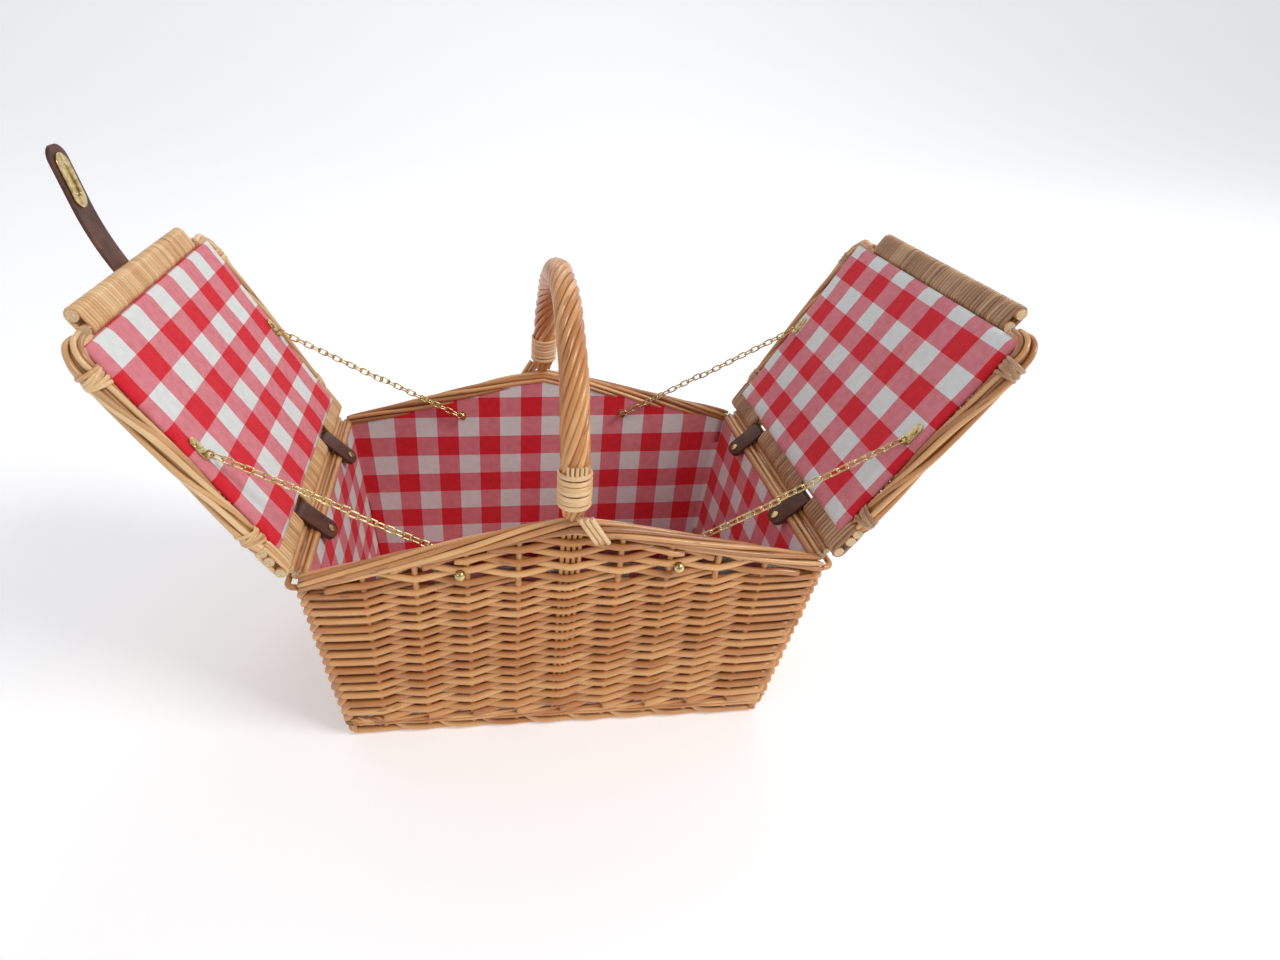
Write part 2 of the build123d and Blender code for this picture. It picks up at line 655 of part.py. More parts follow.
with BuildPart() as link:
    with BuildLine() as link_path:
        Line((-LINK_STRAIGHT, -LINK_SIDE), (LINK_STRAIGHT, -LINK_SIDE))
        ThreePointArc((LINK_STRAIGHT, -LINK_SIDE), (LINK_HALF, 0), (LINK_STRAIGHT, LINK_SIDE))
        Line((LINK_STRAIGHT, LINK_SIDE), (-LINK_STRAIGHT, LINK_SIDE))
        ThreePointArc((-LINK_STRAIGHT, LINK_SIDE), (-LINK_HALF, 0), (-LINK_STRAIGHT, -LINK_SIDE))
    with BuildSketch(Plane(origin=link_path.line @ 0, z_dir=link_path.line % 0)):
        Circle(LINK_WIRE)
    sweep(path=link_path.line)


def link_places(start, towards, first, count, pitch, flat_first):
    """Places of a chain's links; flat links lie in the plane that the chain swings in."""
    along = (towards - start).normalized()
    across = (Vector(0, 1, 0) - along * along.Y).normalized()
    for i in range(count):
        normal = across if (i % 2 == 0) == flat_first else along.cross(across)
        yield Plane(origin=start + along * (first + i * pitch), x_dir=along, z_dir=normal).location


for end, x_side in ENDS.items():
    for name, side in SIDES.items():
        pin = Vector(x_side * WALL_STUD_X, side * WALL_STUD_Y, WALL_STUD_Z)
        eye = lid_point(x_side, CHAIN_END_S, side * LID_STUD_Y, CHAIN_END_N)
        pitch = ((eye - pin).length - WALL_FIRST - LID_FIRST) / (WALL_LINKS + LID_LINKS - 1)
        meeting = pin + (eye - pin) * (WALL_LINKS / (WALL_LINKS + LID_LINKS))
        aside = Vector(0, side * PASSING_GAP, 0)
        with BuildPart() as chain:
            for place in link_places(pin, meeting + aside, WALL_FIRST, WALL_LINKS, pitch, True):
                add(link.part.moved(place))
        save(chain.part, f"{end}_{name}_chain_wall")
        with BuildPart() as chain:
            for place in link_places(eye, meeting - aside, LID_FIRST, LID_LINKS, pitch, False):
                add(link.part.moved(place))
        save(chain.part, f"{end}_{name}_chain_lid")

# Closing strap: its riveted base on the left lid, and its tail, which bends at the lid's lip
BASE_SPAN = (158, 203)
BASE_FACE = STICK + FIT_GAP + WRAP + LID_LINING_GAP
CLOSING_RIVET_S = (166, 178)
CLOSING_SHANK_END = LID_STAKE_N - STAKE_RADIUS - FIT_GAP


def turned(angle, length=1):
    """Step of a length at an angle from s towards n."""
    return Vector(cos(radians(angle)), sin(radians(angle))) * length


BEND_RADIUS = CLOSING_BEND_LENGTH / radians(CLOSING_BEND)
TAIL_ANGLE = CLOSING_TILT + CLOSING_BEND
bend_start = Vector(*CLOSING_AXIS) + turned(CLOSING_TILT, CLOSING_RUN)
bend_end = bend_start + turned(CLOSING_TILT + 90, BEND_RADIUS) + turned(TAIL_ANGLE - 90, BEND_RADIUS)
strap_tip = bend_end + turned(TAIL_ANGLE, CLOSING_LENGTH - CLOSING_RUN - CLOSING_BEND_LENGTH)
eyelet_at = bend_end + turned(TAIL_ANGLE, EYELET_ALONG)
eyelet_tip = eyelet_at + turned(TAIL_ANGLE)
eyelet_top = eyelet_at + turned(TAIL_ANGLE + 90)
centre, tip, top = [lid_point(-1, at.X, 0, at.Y) for at in (eyelet_at, eyelet_tip, eyelet_top)]
eyelet_seat = Plane(origin=centre, x_dir=tip - centre, z_dir=top - centre)

with BuildPart() as closing_strap_base:
    with BuildSketch(lid_section(-1)):
        with Locations((sum(BASE_SPAN) / 2, -BASE_FACE - CLOSING_THICKNESS / 2)):
            Rectangle(BASE_SPAN[1] - BASE_SPAN[0], CLOSING_THICKNESS)
    extrude(amount=CLOSING_WIDTH / 2, both=True)
save(closing_strap_base.part, "closing_strap_base")

with BuildPart() as closing_rivets:
    for s in CLOSING_RIVET_S:
        head_low = -BASE_FACE - CLOSING_THICKNESS
        rod(lid_point(-1, s, 0, head_low - RIVET_RISE), lid_point(-1, s, 0, head_low), RIVET_HEAD)
        rod(lid_point(-1, s, 0, head_low - RIVET_RISE), lid_point(-1, s, 0, CLOSING_SHANK_END), RIVET_SHANK)
save(closing_rivets.part, "closing_rivets")

EYELET_PLATE = 0.9
EYELET_WALL = 0.8
with BuildPart() as closing_strap:
    with BuildSketch(lid_section(-1)):
        with BuildLine():
            run = Line(CLOSING_AXIS, bend_start)
            bend = JernArc(start=bend_start, tangent=run % 1, radius=BEND_RADIUS, arc_size=CLOSING_BEND)
            Line(bend @ 1, strap_tip)
        trace(line_width=CLOSING_THICKNESS)
    extrude(amount=CLOSING_WIDTH / 2, both=True)
    with BuildSketch(eyelet_seat):
        SlotOverall(*[size + 2 * EYELET_WALL + 2 * FIT_GAP for size in EYELET_SLOT])
    extrude(amount=3 * CLOSING_THICKNESS, both=True, mode=Mode.SUBTRACT)
save(closing_strap.part, "closing_strap")

with BuildPart() as eyelet_plate:
    half = CLOSING_THICKNESS / 2 + FIT_GAP
    for level in (-half - EYELET_PLATE, half):
        with BuildSketch(eyelet_seat.offset(level)):
            SlotOverall(*EYELET_SIZE)
            SlotOverall(*EYELET_SLOT, mode=Mode.SUBTRACT)
        extrude(amount=EYELET_PLATE)
    with BuildSketch(eyelet_seat):
        SlotOverall(*[size + 2 * EYELET_WALL for size in EYELET_SLOT])
        SlotOverall(*EYELET_SLOT, mode=Mode.SUBTRACT)
    extrude(amount=half, both=True)
save(eyelet_plate.part, "eyelet_plate")

# Turn lock on the right lid's outer face: a plate, two screws and a staple that turns
LOCK_SIZE = (30, 16)
STAPLE_RADIUS = 2
STAPLE_REACH = 13
STAPLE_WING = (13, 4, 3.5)
SCREW_OFFSET = 10.5
SCREW_HEAD = 2.2
SCREW_SHANK = 1.1
SCREW_RISE = 0.8
lock_face = lid_face(1, -PANEL_THICKNESS / 2)
with BuildPart() as lock_plate:
    with BuildSketch(lock_face):
        with Locations((LOCK_S, 0)):
            SlotOverall(*LOCK_SIZE, rotation=90)
            Circle(STAPLE_RADIUS + FIT_GAP, mode=Mode.SUBTRACT)
    extrude(amount=-LOCK_PLATE)
save(lock_plate.part, "lock_plate")

with BuildPart() as lock_screws:
    for y in (-SCREW_OFFSET, SCREW_OFFSET):
        seat = -PANEL_THICKNESS / 2 - LOCK_PLATE
        rod(lid_point(1, LOCK_S, y, seat - SCREW_RISE), lid_point(1, LOCK_S, y, seat), SCREW_HEAD)
        rod(lid_point(1, LOCK_S, y, seat - SCREW_RISE), lid_point(1, LOCK_S, y, 0), SCREW_SHANK)
save(lock_screws.part, "lock_screws")

with BuildPart() as turn_staple:
    foot = -PANEL_THICKNESS / 2 - FIT_GAP
    rod(lid_point(1, LOCK_S, 0, foot), lid_point(1, LOCK_S, 0, foot - STAPLE_REACH), STAPLE_RADIUS)
    with BuildSketch(lid_face(1, foot - STAPLE_REACH + STAPLE_WING[2])):
        with Locations((LOCK_S, 0)):
            SlotOverall(*STAPLE_WING[:2])
    extrude(amount=-STAPLE_WING[2])
save(turn_staple.part, "turn_staple")
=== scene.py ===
"""Looks of a twin-lid wicker picnic basket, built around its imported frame.

Lengths are in millimetres until a mesh is made. +X runs along the basket, +Z is up. A lid's own
directions are s, from its hinge stick to its free edge, y, and n, towards the basket's inside.
"""
from math import atan, cos, pi, radians, sin, tau

import bpy
import numpy as np
from mathutils import Matrix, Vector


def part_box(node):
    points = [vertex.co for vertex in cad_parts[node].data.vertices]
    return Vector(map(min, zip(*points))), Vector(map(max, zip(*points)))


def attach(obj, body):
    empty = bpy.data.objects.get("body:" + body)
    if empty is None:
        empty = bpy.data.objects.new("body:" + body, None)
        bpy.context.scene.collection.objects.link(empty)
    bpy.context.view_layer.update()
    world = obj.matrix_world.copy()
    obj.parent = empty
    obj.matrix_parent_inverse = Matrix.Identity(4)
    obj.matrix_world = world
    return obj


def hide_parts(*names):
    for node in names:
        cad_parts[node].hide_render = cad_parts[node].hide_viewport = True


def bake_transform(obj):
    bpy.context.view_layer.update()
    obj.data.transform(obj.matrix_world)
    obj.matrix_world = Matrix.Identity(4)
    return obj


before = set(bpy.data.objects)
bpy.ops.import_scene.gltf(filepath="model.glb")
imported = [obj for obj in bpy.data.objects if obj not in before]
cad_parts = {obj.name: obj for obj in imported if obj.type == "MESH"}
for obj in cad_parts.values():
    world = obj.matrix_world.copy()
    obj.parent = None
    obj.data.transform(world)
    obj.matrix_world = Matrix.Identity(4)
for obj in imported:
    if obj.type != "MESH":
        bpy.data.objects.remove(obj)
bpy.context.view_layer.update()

MM = 0.001
SIDES = {"front": -1, "back": 1}
ENDS = {"left": -1, "right": 1}

# Body sizes; the base and the peak are read from the frame, the rest are given
foot_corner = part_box("foot_border")[1] / MM
BASE_X = foot_corner.x
BASE_Y = foot_corner.y
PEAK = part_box("front_rim")[1].z / MM
END_Z = 188
END_LEAN = 17 / 188
SIDE_LEAN = 17 / 240
ROOF_SLOPE = (PEAK - END_Z) / (BASE_X + END_LEAN * END_Z)
RIM_DROP = 13.6
RIM_END = 196
BUNDLE = 7

# Lid sizes
HINGE_X = 204
HINGE_Z = 197.5
LID_ANGLE = radians(61)
STICK = 3.8
BAR_S = (0, 12, 19.8)
BAR_HALF = 127
LIP_S = (189, 199.4)
LIP_HALF = 94
PANEL_S = (27, 183)
PANEL_HALF = 114.5
BORDER_MIDDLE = 122.05
BORDER_START = 25
BORDER_TURN = 175
LINING_S = (12, 184.5)
LINING_HALF = 115.3
LINING_N = 8
LINING_PHASE = {"left": (183.4, 105.3), "right": (194.3, 121.4)}
STRAP_Y = 56
WINDOW = 11.5

# Handle
BOW_RADIUS = 124.06
BOW_Z = 241.8
BOW_HALF_TURN = radians(90) + atan(SIDE_LEAN)
HANDLE_RADIUS = 10.6
HANDLE_BINDING = (7, 11.5)

# Cloth and leather
SQUARE = 21
THREAD = 0.9
STRAP_START = 158
STRAP_BEND = 204.8
STRAP_LEVEL = -6.1

# Studio, in metres
LIT = np.array([0, 0, 0.15])
CAMERA = np.array([-0.0629, -0.5266, 0.5313])


def end_x(z):
    """Outer half length of the body at height z."""
    return BASE_X + END_LEAN * z


def side_y(z):
    """Outer half width of the body at height z."""
    return BASE_Y + SIDE_LEAN * z


def rim_top(x):
    """Height of the long rim's top line at x."""
    return PEAK - ROOF_SLOPE * np.abs(x)


def smooth(t):
    """Smooth step of t from 0 to 1."""
    t = np.clip(t, 0, 1)
    return t * t * (3 - 2 * t)


def stack(*parts):
    """Parts brought to one shape and laid side by side along a new last direction."""
    return np.stack(np.broadcast_arrays(*parts), axis=-1)


def unit(vectors):
    """Vectors at length one."""
    return vectors / np.linalg.norm(vectors, axis=-1, keepdims=True)


def lid_place(side, s, y, n):
    """Points at s, y and n on an open lid."""
    x = side * (HINGE_X + cos(LID_ANGLE) * s - sin(LID_ANGLE) * n)
    z = HINGE_Z + sin(LID_ANGLE) * s + cos(LID_ANGLE) * n
    return stack(x, y, z)


def lid_turn(side, s, y, n):
    """Directions with parts s, y and n on an open lid."""
    return lid_place(side, s, y, n) - lid_place(side, 0, 0, 0)


# ---------------------------------------------------------------- materials
class Shader:
    """A small helper that builds one node material."""

    def __init__(self, name):
        self.material = bpy.data.materials.new(name)
        self.material.use_nodes = True
        self.tree = self.material.node_tree
        self.surface = self.tree.nodes["Principled BSDF"]

    def add(self, kind, inputs=None, **settings):
        """Add a node. Inputs map a socket's name or number to a value or to another node's socket."""
        node = self.tree.nodes.new("ShaderNode" + kind)
        for key, value in settings.items():
            setattr(node, key, value)
        for key, value in (inputs or {}).items():
            if isinstance(value, bpy.types.NodeSocket):
                self.tree.links.new(value, node.inputs[key])
            else:
                node.inputs[key].default_value = value
        return node

    def math(self, operation, first, second=0.0):
        """Result of one math operation."""
        return self.add("Math", {0: first, 1: second}, operation=operation).outputs[0]

    def attribute(self, name, output):
        """A mesh attribute's output."""
        return self.add("Attribute", attribute_name=name).outputs[output]

    def noise(self, vector, scale, detail=3.0):
        """Noise between 0 and 1."""
        return self.add("TexNoise", {"Vector": vector, "Scale": scale, "Detail": detail}).outputs["Fac"]

    def stretch(self, vector, scales):
        """A vector scaled along each of its own directions."""
        return self.add("Mapping", {"Vector": vector, "Scale": scales}).outputs["Vector"]

    def ramp(self, factor, stops):
        """A colour ramp with (position, colour) stops."""
        node = self.add("ValToRGB", {0: factor})
        elements = node.color_ramp.elements
        while len(elements) < len(stops):
            elements.new(0.5)
        for element, (position, colour) in zip(elements, stops):
            element.position = position
            element.color = (*colour, 1)
        return node.outputs["Color"]

    def mix(self, factor, first, second):
        """Mixed colours."""
        node = self.add("Mix", {0: factor}, data_type="RGBA")
        for socket, value in ((node.inputs[6], first), (node.inputs[7], second)):
            if isinstance(value, bpy.types.NodeSocket):
                self.tree.links.new(value, socket)
            else:
                socket.default_value = (*value, 1)
        return node.outputs[2]

    def bump(self, height, distance, strength=1.0):
        """Bump the surface by a height in metres."""
        node = self.add("Bump", {"Height": height, "Distance": distance, "Strength": strength})
        self.tree.links.new(node.outputs[0], self.surface.inputs["Normal"])

    def connect(self, **sockets):
        """Set or link the surface's sockets; an underscore in a name stands for a space."""
        for key, value in sockets.items():
            socket = self.surface.inputs[key.replace("_", " ")]
            if isinstance(value, bpy.types.NodeSocket):
                self.tree.links.new(value, socket)
            elif isinstance(value, tuple):
                socket.default_value = (*value, 1)
            else:
                socket.default_value = value
        return self.material


def willow(name, dark, middle, light):
    """Varnished willow: streaks along each rod, a tone of its own for each, and darker knots."""
    shader = Shader(name)
    grain = shader.attribute("grain", "Vector")
    tone = shader.attribute("tone", "Fac")
    streaks = shader.noise(shader.stretch(grain, (14, 900, 900)), 1.0)
    blotches = shader.noise(shader.stretch(grain, (38, 60, 60)), 1.0, 2.0)
    amount = shader.math("ADD", shader.math("MULTIPLY", tone, 0.66), shader.math("MULTIPLY", streaks, 0.16))
    amount = shader.math("ADD", amount, shader.math("MULTIPLY", blotches, 0.32))
    colour = shader.ramp(amount, ((0.18, dark), (0.55, middle), (0.92, light)))
    knots = shader.add("TexVoronoi", {"Vector": shader.stretch(grain, (26, 160, 160)), "Scale": 1.0})
    knot = shader.math("LESS_THAN", knots.outputs["Distance"], 0.13)
    colour = shader.mix(shader.math("MULTIPLY", knot, 0.45), colour, tuple(c * 0.45 for c in dark))
    shader.bump(streaks, 0.0005, 0.35)
    return shader.connect(Base_Color=colour, Roughness=0.36, Specular_IOR_Level=0.5, Coat_Weight=0.35,
                          Coat_Roughness=0.2)


def pith():
    """The pale cut end of a stick, with its soft middle."""
    shader = Shader("stick_end")
    grain = shader.attribute("grain", "Vector")
    speckle = shader.noise(shader.stretch(grain, (900, 900, 900)), 1.0)
    colour = shader.ramp(speckle, ((0.3, (0.50, 0.33, 0.17)), (0.7, (0.80, 0.62, 0.38))))
    return shader.connect(Base_Color=colour, Roughness=0.8)


def gingham():
    """Red and white gingham cotton, its squares given by the cloth's own coordinates in metres."""
    shader = Shader("gingham")
    cloth = shader.attribute("cloth", "Vector")
    parts = shader.add("SeparateXYZ", {0: cloth}).outputs
    bands = []
    threads = []
    for part in (parts[0], parts[1]):
        phase = shader.math("FRACT", shader.math("MULTIPLY", part, 1 / (2 * SQUARE * MM)))
        bands.append(shader.math("GREATER_THAN", phase, 0.5))
        threads.append(shader.math("SINE", shader.math("MULTIPLY", part, tau / (THREAD * MM))))
    both = shader.math("MULTIPLY", bands[0], bands[1])
    either = shader.math("MAXIMUM", bands[0], bands[1])
    weave = shader.math("MULTIPLY", threads[0], threads[1])
    mottle = shader.noise(shader.stretch(cloth, (160, 160, 160)), 1.0, 4.0)
    white = shader.mix(mottle, (0.64, 0.67, 0.65), (0.82, 0.84, 0.82))
    pink = shader.mix(mottle, (0.60, 0.14, 0.17), (0.78, 0.30, 0.33))
    red = shader.mix(mottle, (0.56, 0.010, 0.020), (0.80, 0.028, 0.045))
    colour = shader.mix(both, shader.mix(either, white, pink), red)
    shader.bump(shader.math("ADD", weave, shader.math("MULTIPLY", mottle, 2.0)), 0.0002, 0.5)
    return shader.connect(Base_Color=colour, Roughness=0.85, Sheen_Weight=0.08, Specular_IOR_Level=0.15)


def leather():
    """Dark brown strap leather with creases and worn spots."""
    shader = Shader("leather")
    place = shader.add("TexCoord").outputs["Object"]
    pores = shader.add("TexVoronoi", {"Vector": place, "Scale": 900.0}).outputs["Distance"]
    wear = shader.noise(place, 70.0, 5.0)
    colour = shader.ramp(wear, ((0.3, (0.055, 0.020, 0.012)), (0.62, (0.115, 0.042, 0.025)),
                                (0.85, (0.21, 0.085, 0.050))))
    shader.bump(shader.math("ADD", pores, wear), 0.0004, 0.5)
    return shader.connect(Base_Color=colour, Roughness=0.45, Specular_IOR_Level=0.3)


def brass():
    """Polished brass with fine rubbing and a little tarnish."""
    shader = Shader("brass")
    place = shader.add("TexCoord").outputs["Object"]
    tarnish = shader.noise(place, 240.0, 4.0)
    colour = shader.ramp(tarnish, ((0.3, (0.36, 0.25, 0.10)), (0.6, (0.78, 0.62, 0.30))))
    rough = shader.math("MULTIPLY_ADD", tarnish, 0.2)
    rough.node.inputs[2].default_value = 0.16
    shader.bump(tarnish, 0.0001, 0.2)
    return shader.connect(Base_Color=colour, Metallic=1.0, Roughness=rough)


WILLOW = willow("willow", (0.27, 0.085, 0.022), (0.56, 0.24, 0.075), (0.80, 0.46, 0.19))
RIM_WILLOW = willow("willow_rim", (0.26, 0.085, 0.024), (0.53, 0.235, 0.078), (0.78, 0.45, 0.19))
# Lid skein cane: the left lid's paler colour is painted light and the right lid's browner colour is painted
# shade, lit and shaded copies of one cane; the pale cane is also the handle binding's own colour.
CANE = {"left": willow("pale_cane", (0.36, 0.16, 0.055), (0.66, 0.38, 0.16), (0.84, 0.60, 0.33)),
        "right": willow("brown_cane", (0.17, 0.07, 0.028), (0.38, 0.195, 0.09), (0.58, 0.36, 0.19))}
PITH = pith()
GINGHAM = gingham()
LEATHER = leather()
BRASS = brass()
CANE_SLOT = {"left": "pale_cane", "right": "brown_cane"}


# ---------------------------------------------------------------- rods and skeins
class Strands:
    """Rods, sticks and flat skeins gathered into one mesh."""

    def __init__(self, seed):
        self.random = np.random.default_rng(seed)
        self.points = []
        self.grain = []
        self.tone = []
        self.faces = []
        self.caps = []
        self.total = 0

    def add(self, line, facing, radius, thin=1.0, sides=8, tone=None, closed=False, taper=0.0):
        """Add a strand along a line, 2 radius wide, and thin times that thick towards facing."""
        line = np.asarray(line, float)
        count = len(line)
        if closed:
            tangent = unit(np.roll(line, -1, 0) - np.roll(line, 1, 0))
        else:
            tangent = unit(np.gradient(line, axis=0))
        facing = np.broadcast_to(np.asarray(facing, float), line.shape)
        across = unit(np.cross(facing, tangent))
        outward = np.cross(tangent, across)
        radius = np.broadcast_to(np.asarray(radius, float), (count,)).copy()
        if taper:
            step = np.minimum(np.arange(count), np.arange(count)[::-1]) / 2
            radius *= 1 - taper * (1 - smooth(step))
        turn = np.arange(sides) * tau / sides
        wide = np.cos(turn)[None, :, None]
        high = (np.sin(turn) * thin)[None, :, None]
        ring = across[:, None] * wide + outward[:, None] * high
        points = line[:, None] + ring * radius[:, None, None]
        along = np.concatenate([[0], np.cumsum(np.linalg.norm(np.diff(line, axis=0), axis=1))])
        shift = self.random.uniform(0, 5000, 3)
        grain = stack(along[:, None] + shift[0], np.cos(turn) * radius[:, None] + shift[1],
                      np.sin(turn) * radius[:, None] + shift[2])
        if tone is None:
            tone = self.random.uniform(0.3, 0.85)
        self.points.append(points.reshape(-1, 3))
        self.grain.append(grain.reshape(-1, 3))
        self.tone.append(np.full(count * sides, tone))
        rows = count if closed else count - 1
        row = np.arange(rows)[:, None]
        column = np.arange(sides)[None, :]
        after = (row + 1) % count
        beside = (column + 1) % sides
        quads = stack(row * sides + column, row * sides + beside,
                      after * sides + beside, after * sides + column)
        self.faces.extend((quads.reshape(-1, 4) + self.total).tolist())
        if not closed:
            first = self.total + np.arange(sides)
            last = first + (count - 1) * sides
            self.caps.append(len(self.faces))
            self.faces.append(first[::-1].tolist())
            self.caps.append(len(self.faces))
            self.faces.append(last.tolist())
        self.total += count * sides

    def build(self, name, body, slot, material, *nodes):
        """Make the mesh, ride it on its body and let it stand for its CAD nodes."""
        mesh = bpy.data.meshes.new(name)
        mesh.from_pydata((np.concatenate(self.points) * MM).tolist(), [], self.faces)
        for label, kind, values in (("grain", "FLOAT_VECTOR", np.concatenate(self.grain) * MM),
                                    ("tone", "FLOAT", np.concatenate(self.tone))):
            layer = mesh.attributes.new(label, kind, "POINT")
            layer.data.foreach_set("vector" if kind == "FLOAT_VECTOR" else "value", values.ravel())
        flags = np.ones(len(mesh.polygons), bool)
        flags[self.caps] = False
        mesh.polygons.foreach_set("use_smooth", flags)
        mesh.materials.append(material)
        mesh.materials.append(PITH)
        index = np.zeros(len(mesh.polygons), np.int32)
        index[self.caps] = 1
        mesh.polygons.foreach_set("material_index", index)
        piece = bpy.data.objects.new(name, mesh)
        bpy.context.scene.collection.objects.link(piece)
        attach(piece, body)
        if nodes:
            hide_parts(*nodes)
        return piece


# ---------------------------------------------------------------- woven body
FRONT_STAKES = (-150, -112.5, -75, -37.5, 0, 37.5, 75, 112.5, 150)
END_STAKES = (-76, -38, 0, 38, 76)
CORNER = 8.4
STAKED = 0.86
FLAT_X = BASE_X - CORNER
FLAT_Y = BASE_Y - CORNER
WEAVE_LOW = 23.5
WEAVE_HIGH = 178
WEAVE_MIDDLE = 3.6
WEAVE_WAVE = 2.9
WEAVE_DIP = 2.3
LINERS = (-6.3, -2.1, 2.1, 6.3)


def outline_places():
    """Stations of the stakes and corner posts, one after another round the body.

    A station is 2 per flat wall and 2 per corner: 0 to 2 along the front, 2 to 4 round the first corner.
    """
    places = []
    for wall, (stakes, reach) in enumerate(((FRONT_STAKES, FLAT_X), (END_STAKES, FLAT_Y)) * 2):
        places += [4 * wall + 1 + place / reach for place in stakes]
        places.append(4 * wall + 3)
    return np.array(places)


def fan(along, foot, reach):
    """Places along a wall that widens with height only between its last stakes and its corners."""
    return along * foot + np.sign(along) * (reach - foot) * smooth((np.abs(along) - STAKED) / (1 - STAKED))


def outline(station, z, depth):
    """Points of the body's rounded outline, at a height and a depth inside its outer face."""
    station, z, depth = np.broadcast_arrays(np.asarray(station, float), z, depth)
    wall = np.floor(station / 4) % 4
    part = station % 4
    along = np.clip(part, 0, 2) - 1
    turn = np.clip(part - 2, 0, 2) / 2 * pi / 2
    flip = np.where(wall >= 2, -1, 1)
    long_wall = wall % 2 == 0
    reach_x = end_x(z) - CORNER
    reach_y = side_y(z) - CORNER
    out = CORNER - depth
    x = np.where(long_wall, fan(along, FLAT_X, reach_x) + out * np.sin(turn), reach_x + out * np.cos(turn))
    y = np.where(long_wall, -reach_y - out * np.cos(turn), fan(along, FLAT_Y, reach_y) + out * np.sin(turn))
    return stack(flip * x, flip * y, z)


def outline_facing(station):
    """Outward directions at stations."""
    return unit(outline(station, 60, 0) - outline(station, 60, 4))


def wave(place):
    """A wave of period two between 1 and -1, sharper at its crests than a cosine."""
    slope = 1 - 2 * np.abs(place - 2 * np.round(place / 2))
    return 0.6 * slope + 0.4 * np.cos(pi * place)


def body_weave():
    """French randing: one rod starts beside each stake and climbs round the body, in front and behind."""
    strands = Strands(3)
    places = outline_places()
    count = len(places)
    rows = 31
    fine = 12
    first_step = 1.16
    wrapped = np.concatenate([places + 16 * lap for lap in range(3)])
    for start in range(count):
        climb = np.arange(rows * fine + 1) / fine
        share = climb / rows
        z = WEAVE_LOW + (WEAVE_HIGH - WEAVE_LOW) * (first_step * share - (first_step - 1) * share ** 2)
        step = (WEAVE_HIGH - WEAVE_LOW) / rows * (first_step - 2 * (first_step - 1) * share)
        station = np.interp(start + climb, np.arange(3 * count), wrapped)
        wander = 0.3 * np.sin(climb * 0.9 + strands.random.uniform(0, tau))
        swing = wave(climb)
        dip = WEAVE_DIP * swing * smooth(climb) * smooth(rows - climb)
        depth = WEAVE_MIDDLE - WEAVE_WAVE * swing + strands.random.normal(0, 0.15)
        line = outline(station, z + wander - dip, depth)
        bulk = 0.56 + 0.03 * np.sin(climb * 0.37 + strands.random.uniform(0, tau))
        strands.add(line, outline_facing(station), step * bulk, sides=8)
    for place in places:
        liners = LINERS if place % 8 == 1 else (0,)
        for shift in liners:
            z = np.linspace(10, WEAVE_HIGH, 12)
            line = outline(place + shift / FLAT_X, z, WEAVE_MIDDLE + 0.3)
            radius = 2.45 if len(liners) == 1 else 1.75
            strands.add(line, outline_facing(np.full(12, place)), radius, tone=0.6)
    return strands.build("body_weave", "basket", "willow", WILLOW, "front_wall", "back_wall", "left_wall",
                         "right_wall", "long_stakes", "end_stakes", "corner_posts", "handle_core")


def wall_point(side, x, z, depth):
    """Points of a long wall's plane."""
    return stack(x, side * (side_y(z) - depth), z)


def gable_weave():
    """Packing of thicker rods in the triangle under each long rim, woven in and out of the stakes."""
    strands = Strands(5)
    stakes = np.array(FRONT_STAKES)
    pitch = 5.9
    for side in SIDES.values():
        facing = np.array([0, side, -SIDE_LEAN])
        for row in range(9):
            z_row = WEAVE_HIGH + pitch * (row + 0.8)
            half = (PEAK - RIM_DROP - z_row + 2.5) / ROOF_SLOPE
            if half < 16:
                continue
            x = np.linspace(-half, half, max(12, int(half / 2)))
            swing = wave(np.interp(x, stakes, np.arange(len(stakes)), left=0, right=len(stakes) - 1) + row)
            depth = WEAVE_MIDDLE - WEAVE_WAVE * swing
            settle = 3 * smooth((np.abs(x) - half + 18) / 18)
            sag = 0.8 * np.sin(x / 27 + row * 1.7) - settle - WEAVE_DIP * swing
            radius = 2.75 + strands.random.uniform(-0.35, 0.15)
            strands.add(wall_point(side, x, z_row + sag, depth), facing, radius)
        for x_stake in stakes:
            liners = LINERS if x_stake == 0 else (0,)
            for shift in liners:
                z = np.linspace(WEAVE_HIGH - 4, rim_top(x_stake) - 8, 6)
                line = wall_point(side, x_stake + shift, z, WEAVE_MIDDLE + 0.3)
                strands.add(line, facing, 2.4 if len(liners) == 1 else 1.75, tone=0.6)
    return strands.build("gable_weave", "basket", "willow", WILLOW)


def wale_and_foot():
    """Three-rod wale round the bottom, and under it the foot, each stake's rod bent down and along."""
    places = outline_places()
    count = len(places)
    wrapped = np.concatenate([places, places + 16])
    wale = Strands(7)
    stations = np.linspace(0, 16, 560, endpoint=False)
    index = np.interp(stations, places, np.arange(count), period=16)
    for level in (16.6, 20.4):
        for strand in range(3):
            phase = tau * (index + strand) / 3
            line = outline(stations, level + 1.3 * np.sin(phase), 2.0 - 1.9 * np.cos(phase))
            wale.add(line, outline_facing(stations), 1.55, closed=True, sides=8)
    wale.build("base_wale_rods", "basket", "willow", WILLOW, "base_wale")
    foot = Strands(9)
    for start in range(count):
        share = np.linspace(0, 1, 36)
        station = np.interp(start + 2.1 * smooth(share * 0.5 + 0.12) * 1.9, np.arange(2 * count), wrapped)
        z = 2.9 + 4.2 * (1 - smooth(share / 0.75)) + 6.5 * (1 - smooth(share / 0.2))
        depth = 4.4 - 2.2 * np.sin(pi * smooth(share / 0.6)) + 1.2 * share
        foot.add(outline(station, z, depth), outline_facing(station), 2.75, sides=10, taper=0.4)
    foot.build("foot_border_rods", "basket", "willow", WILLOW, "foot_border")


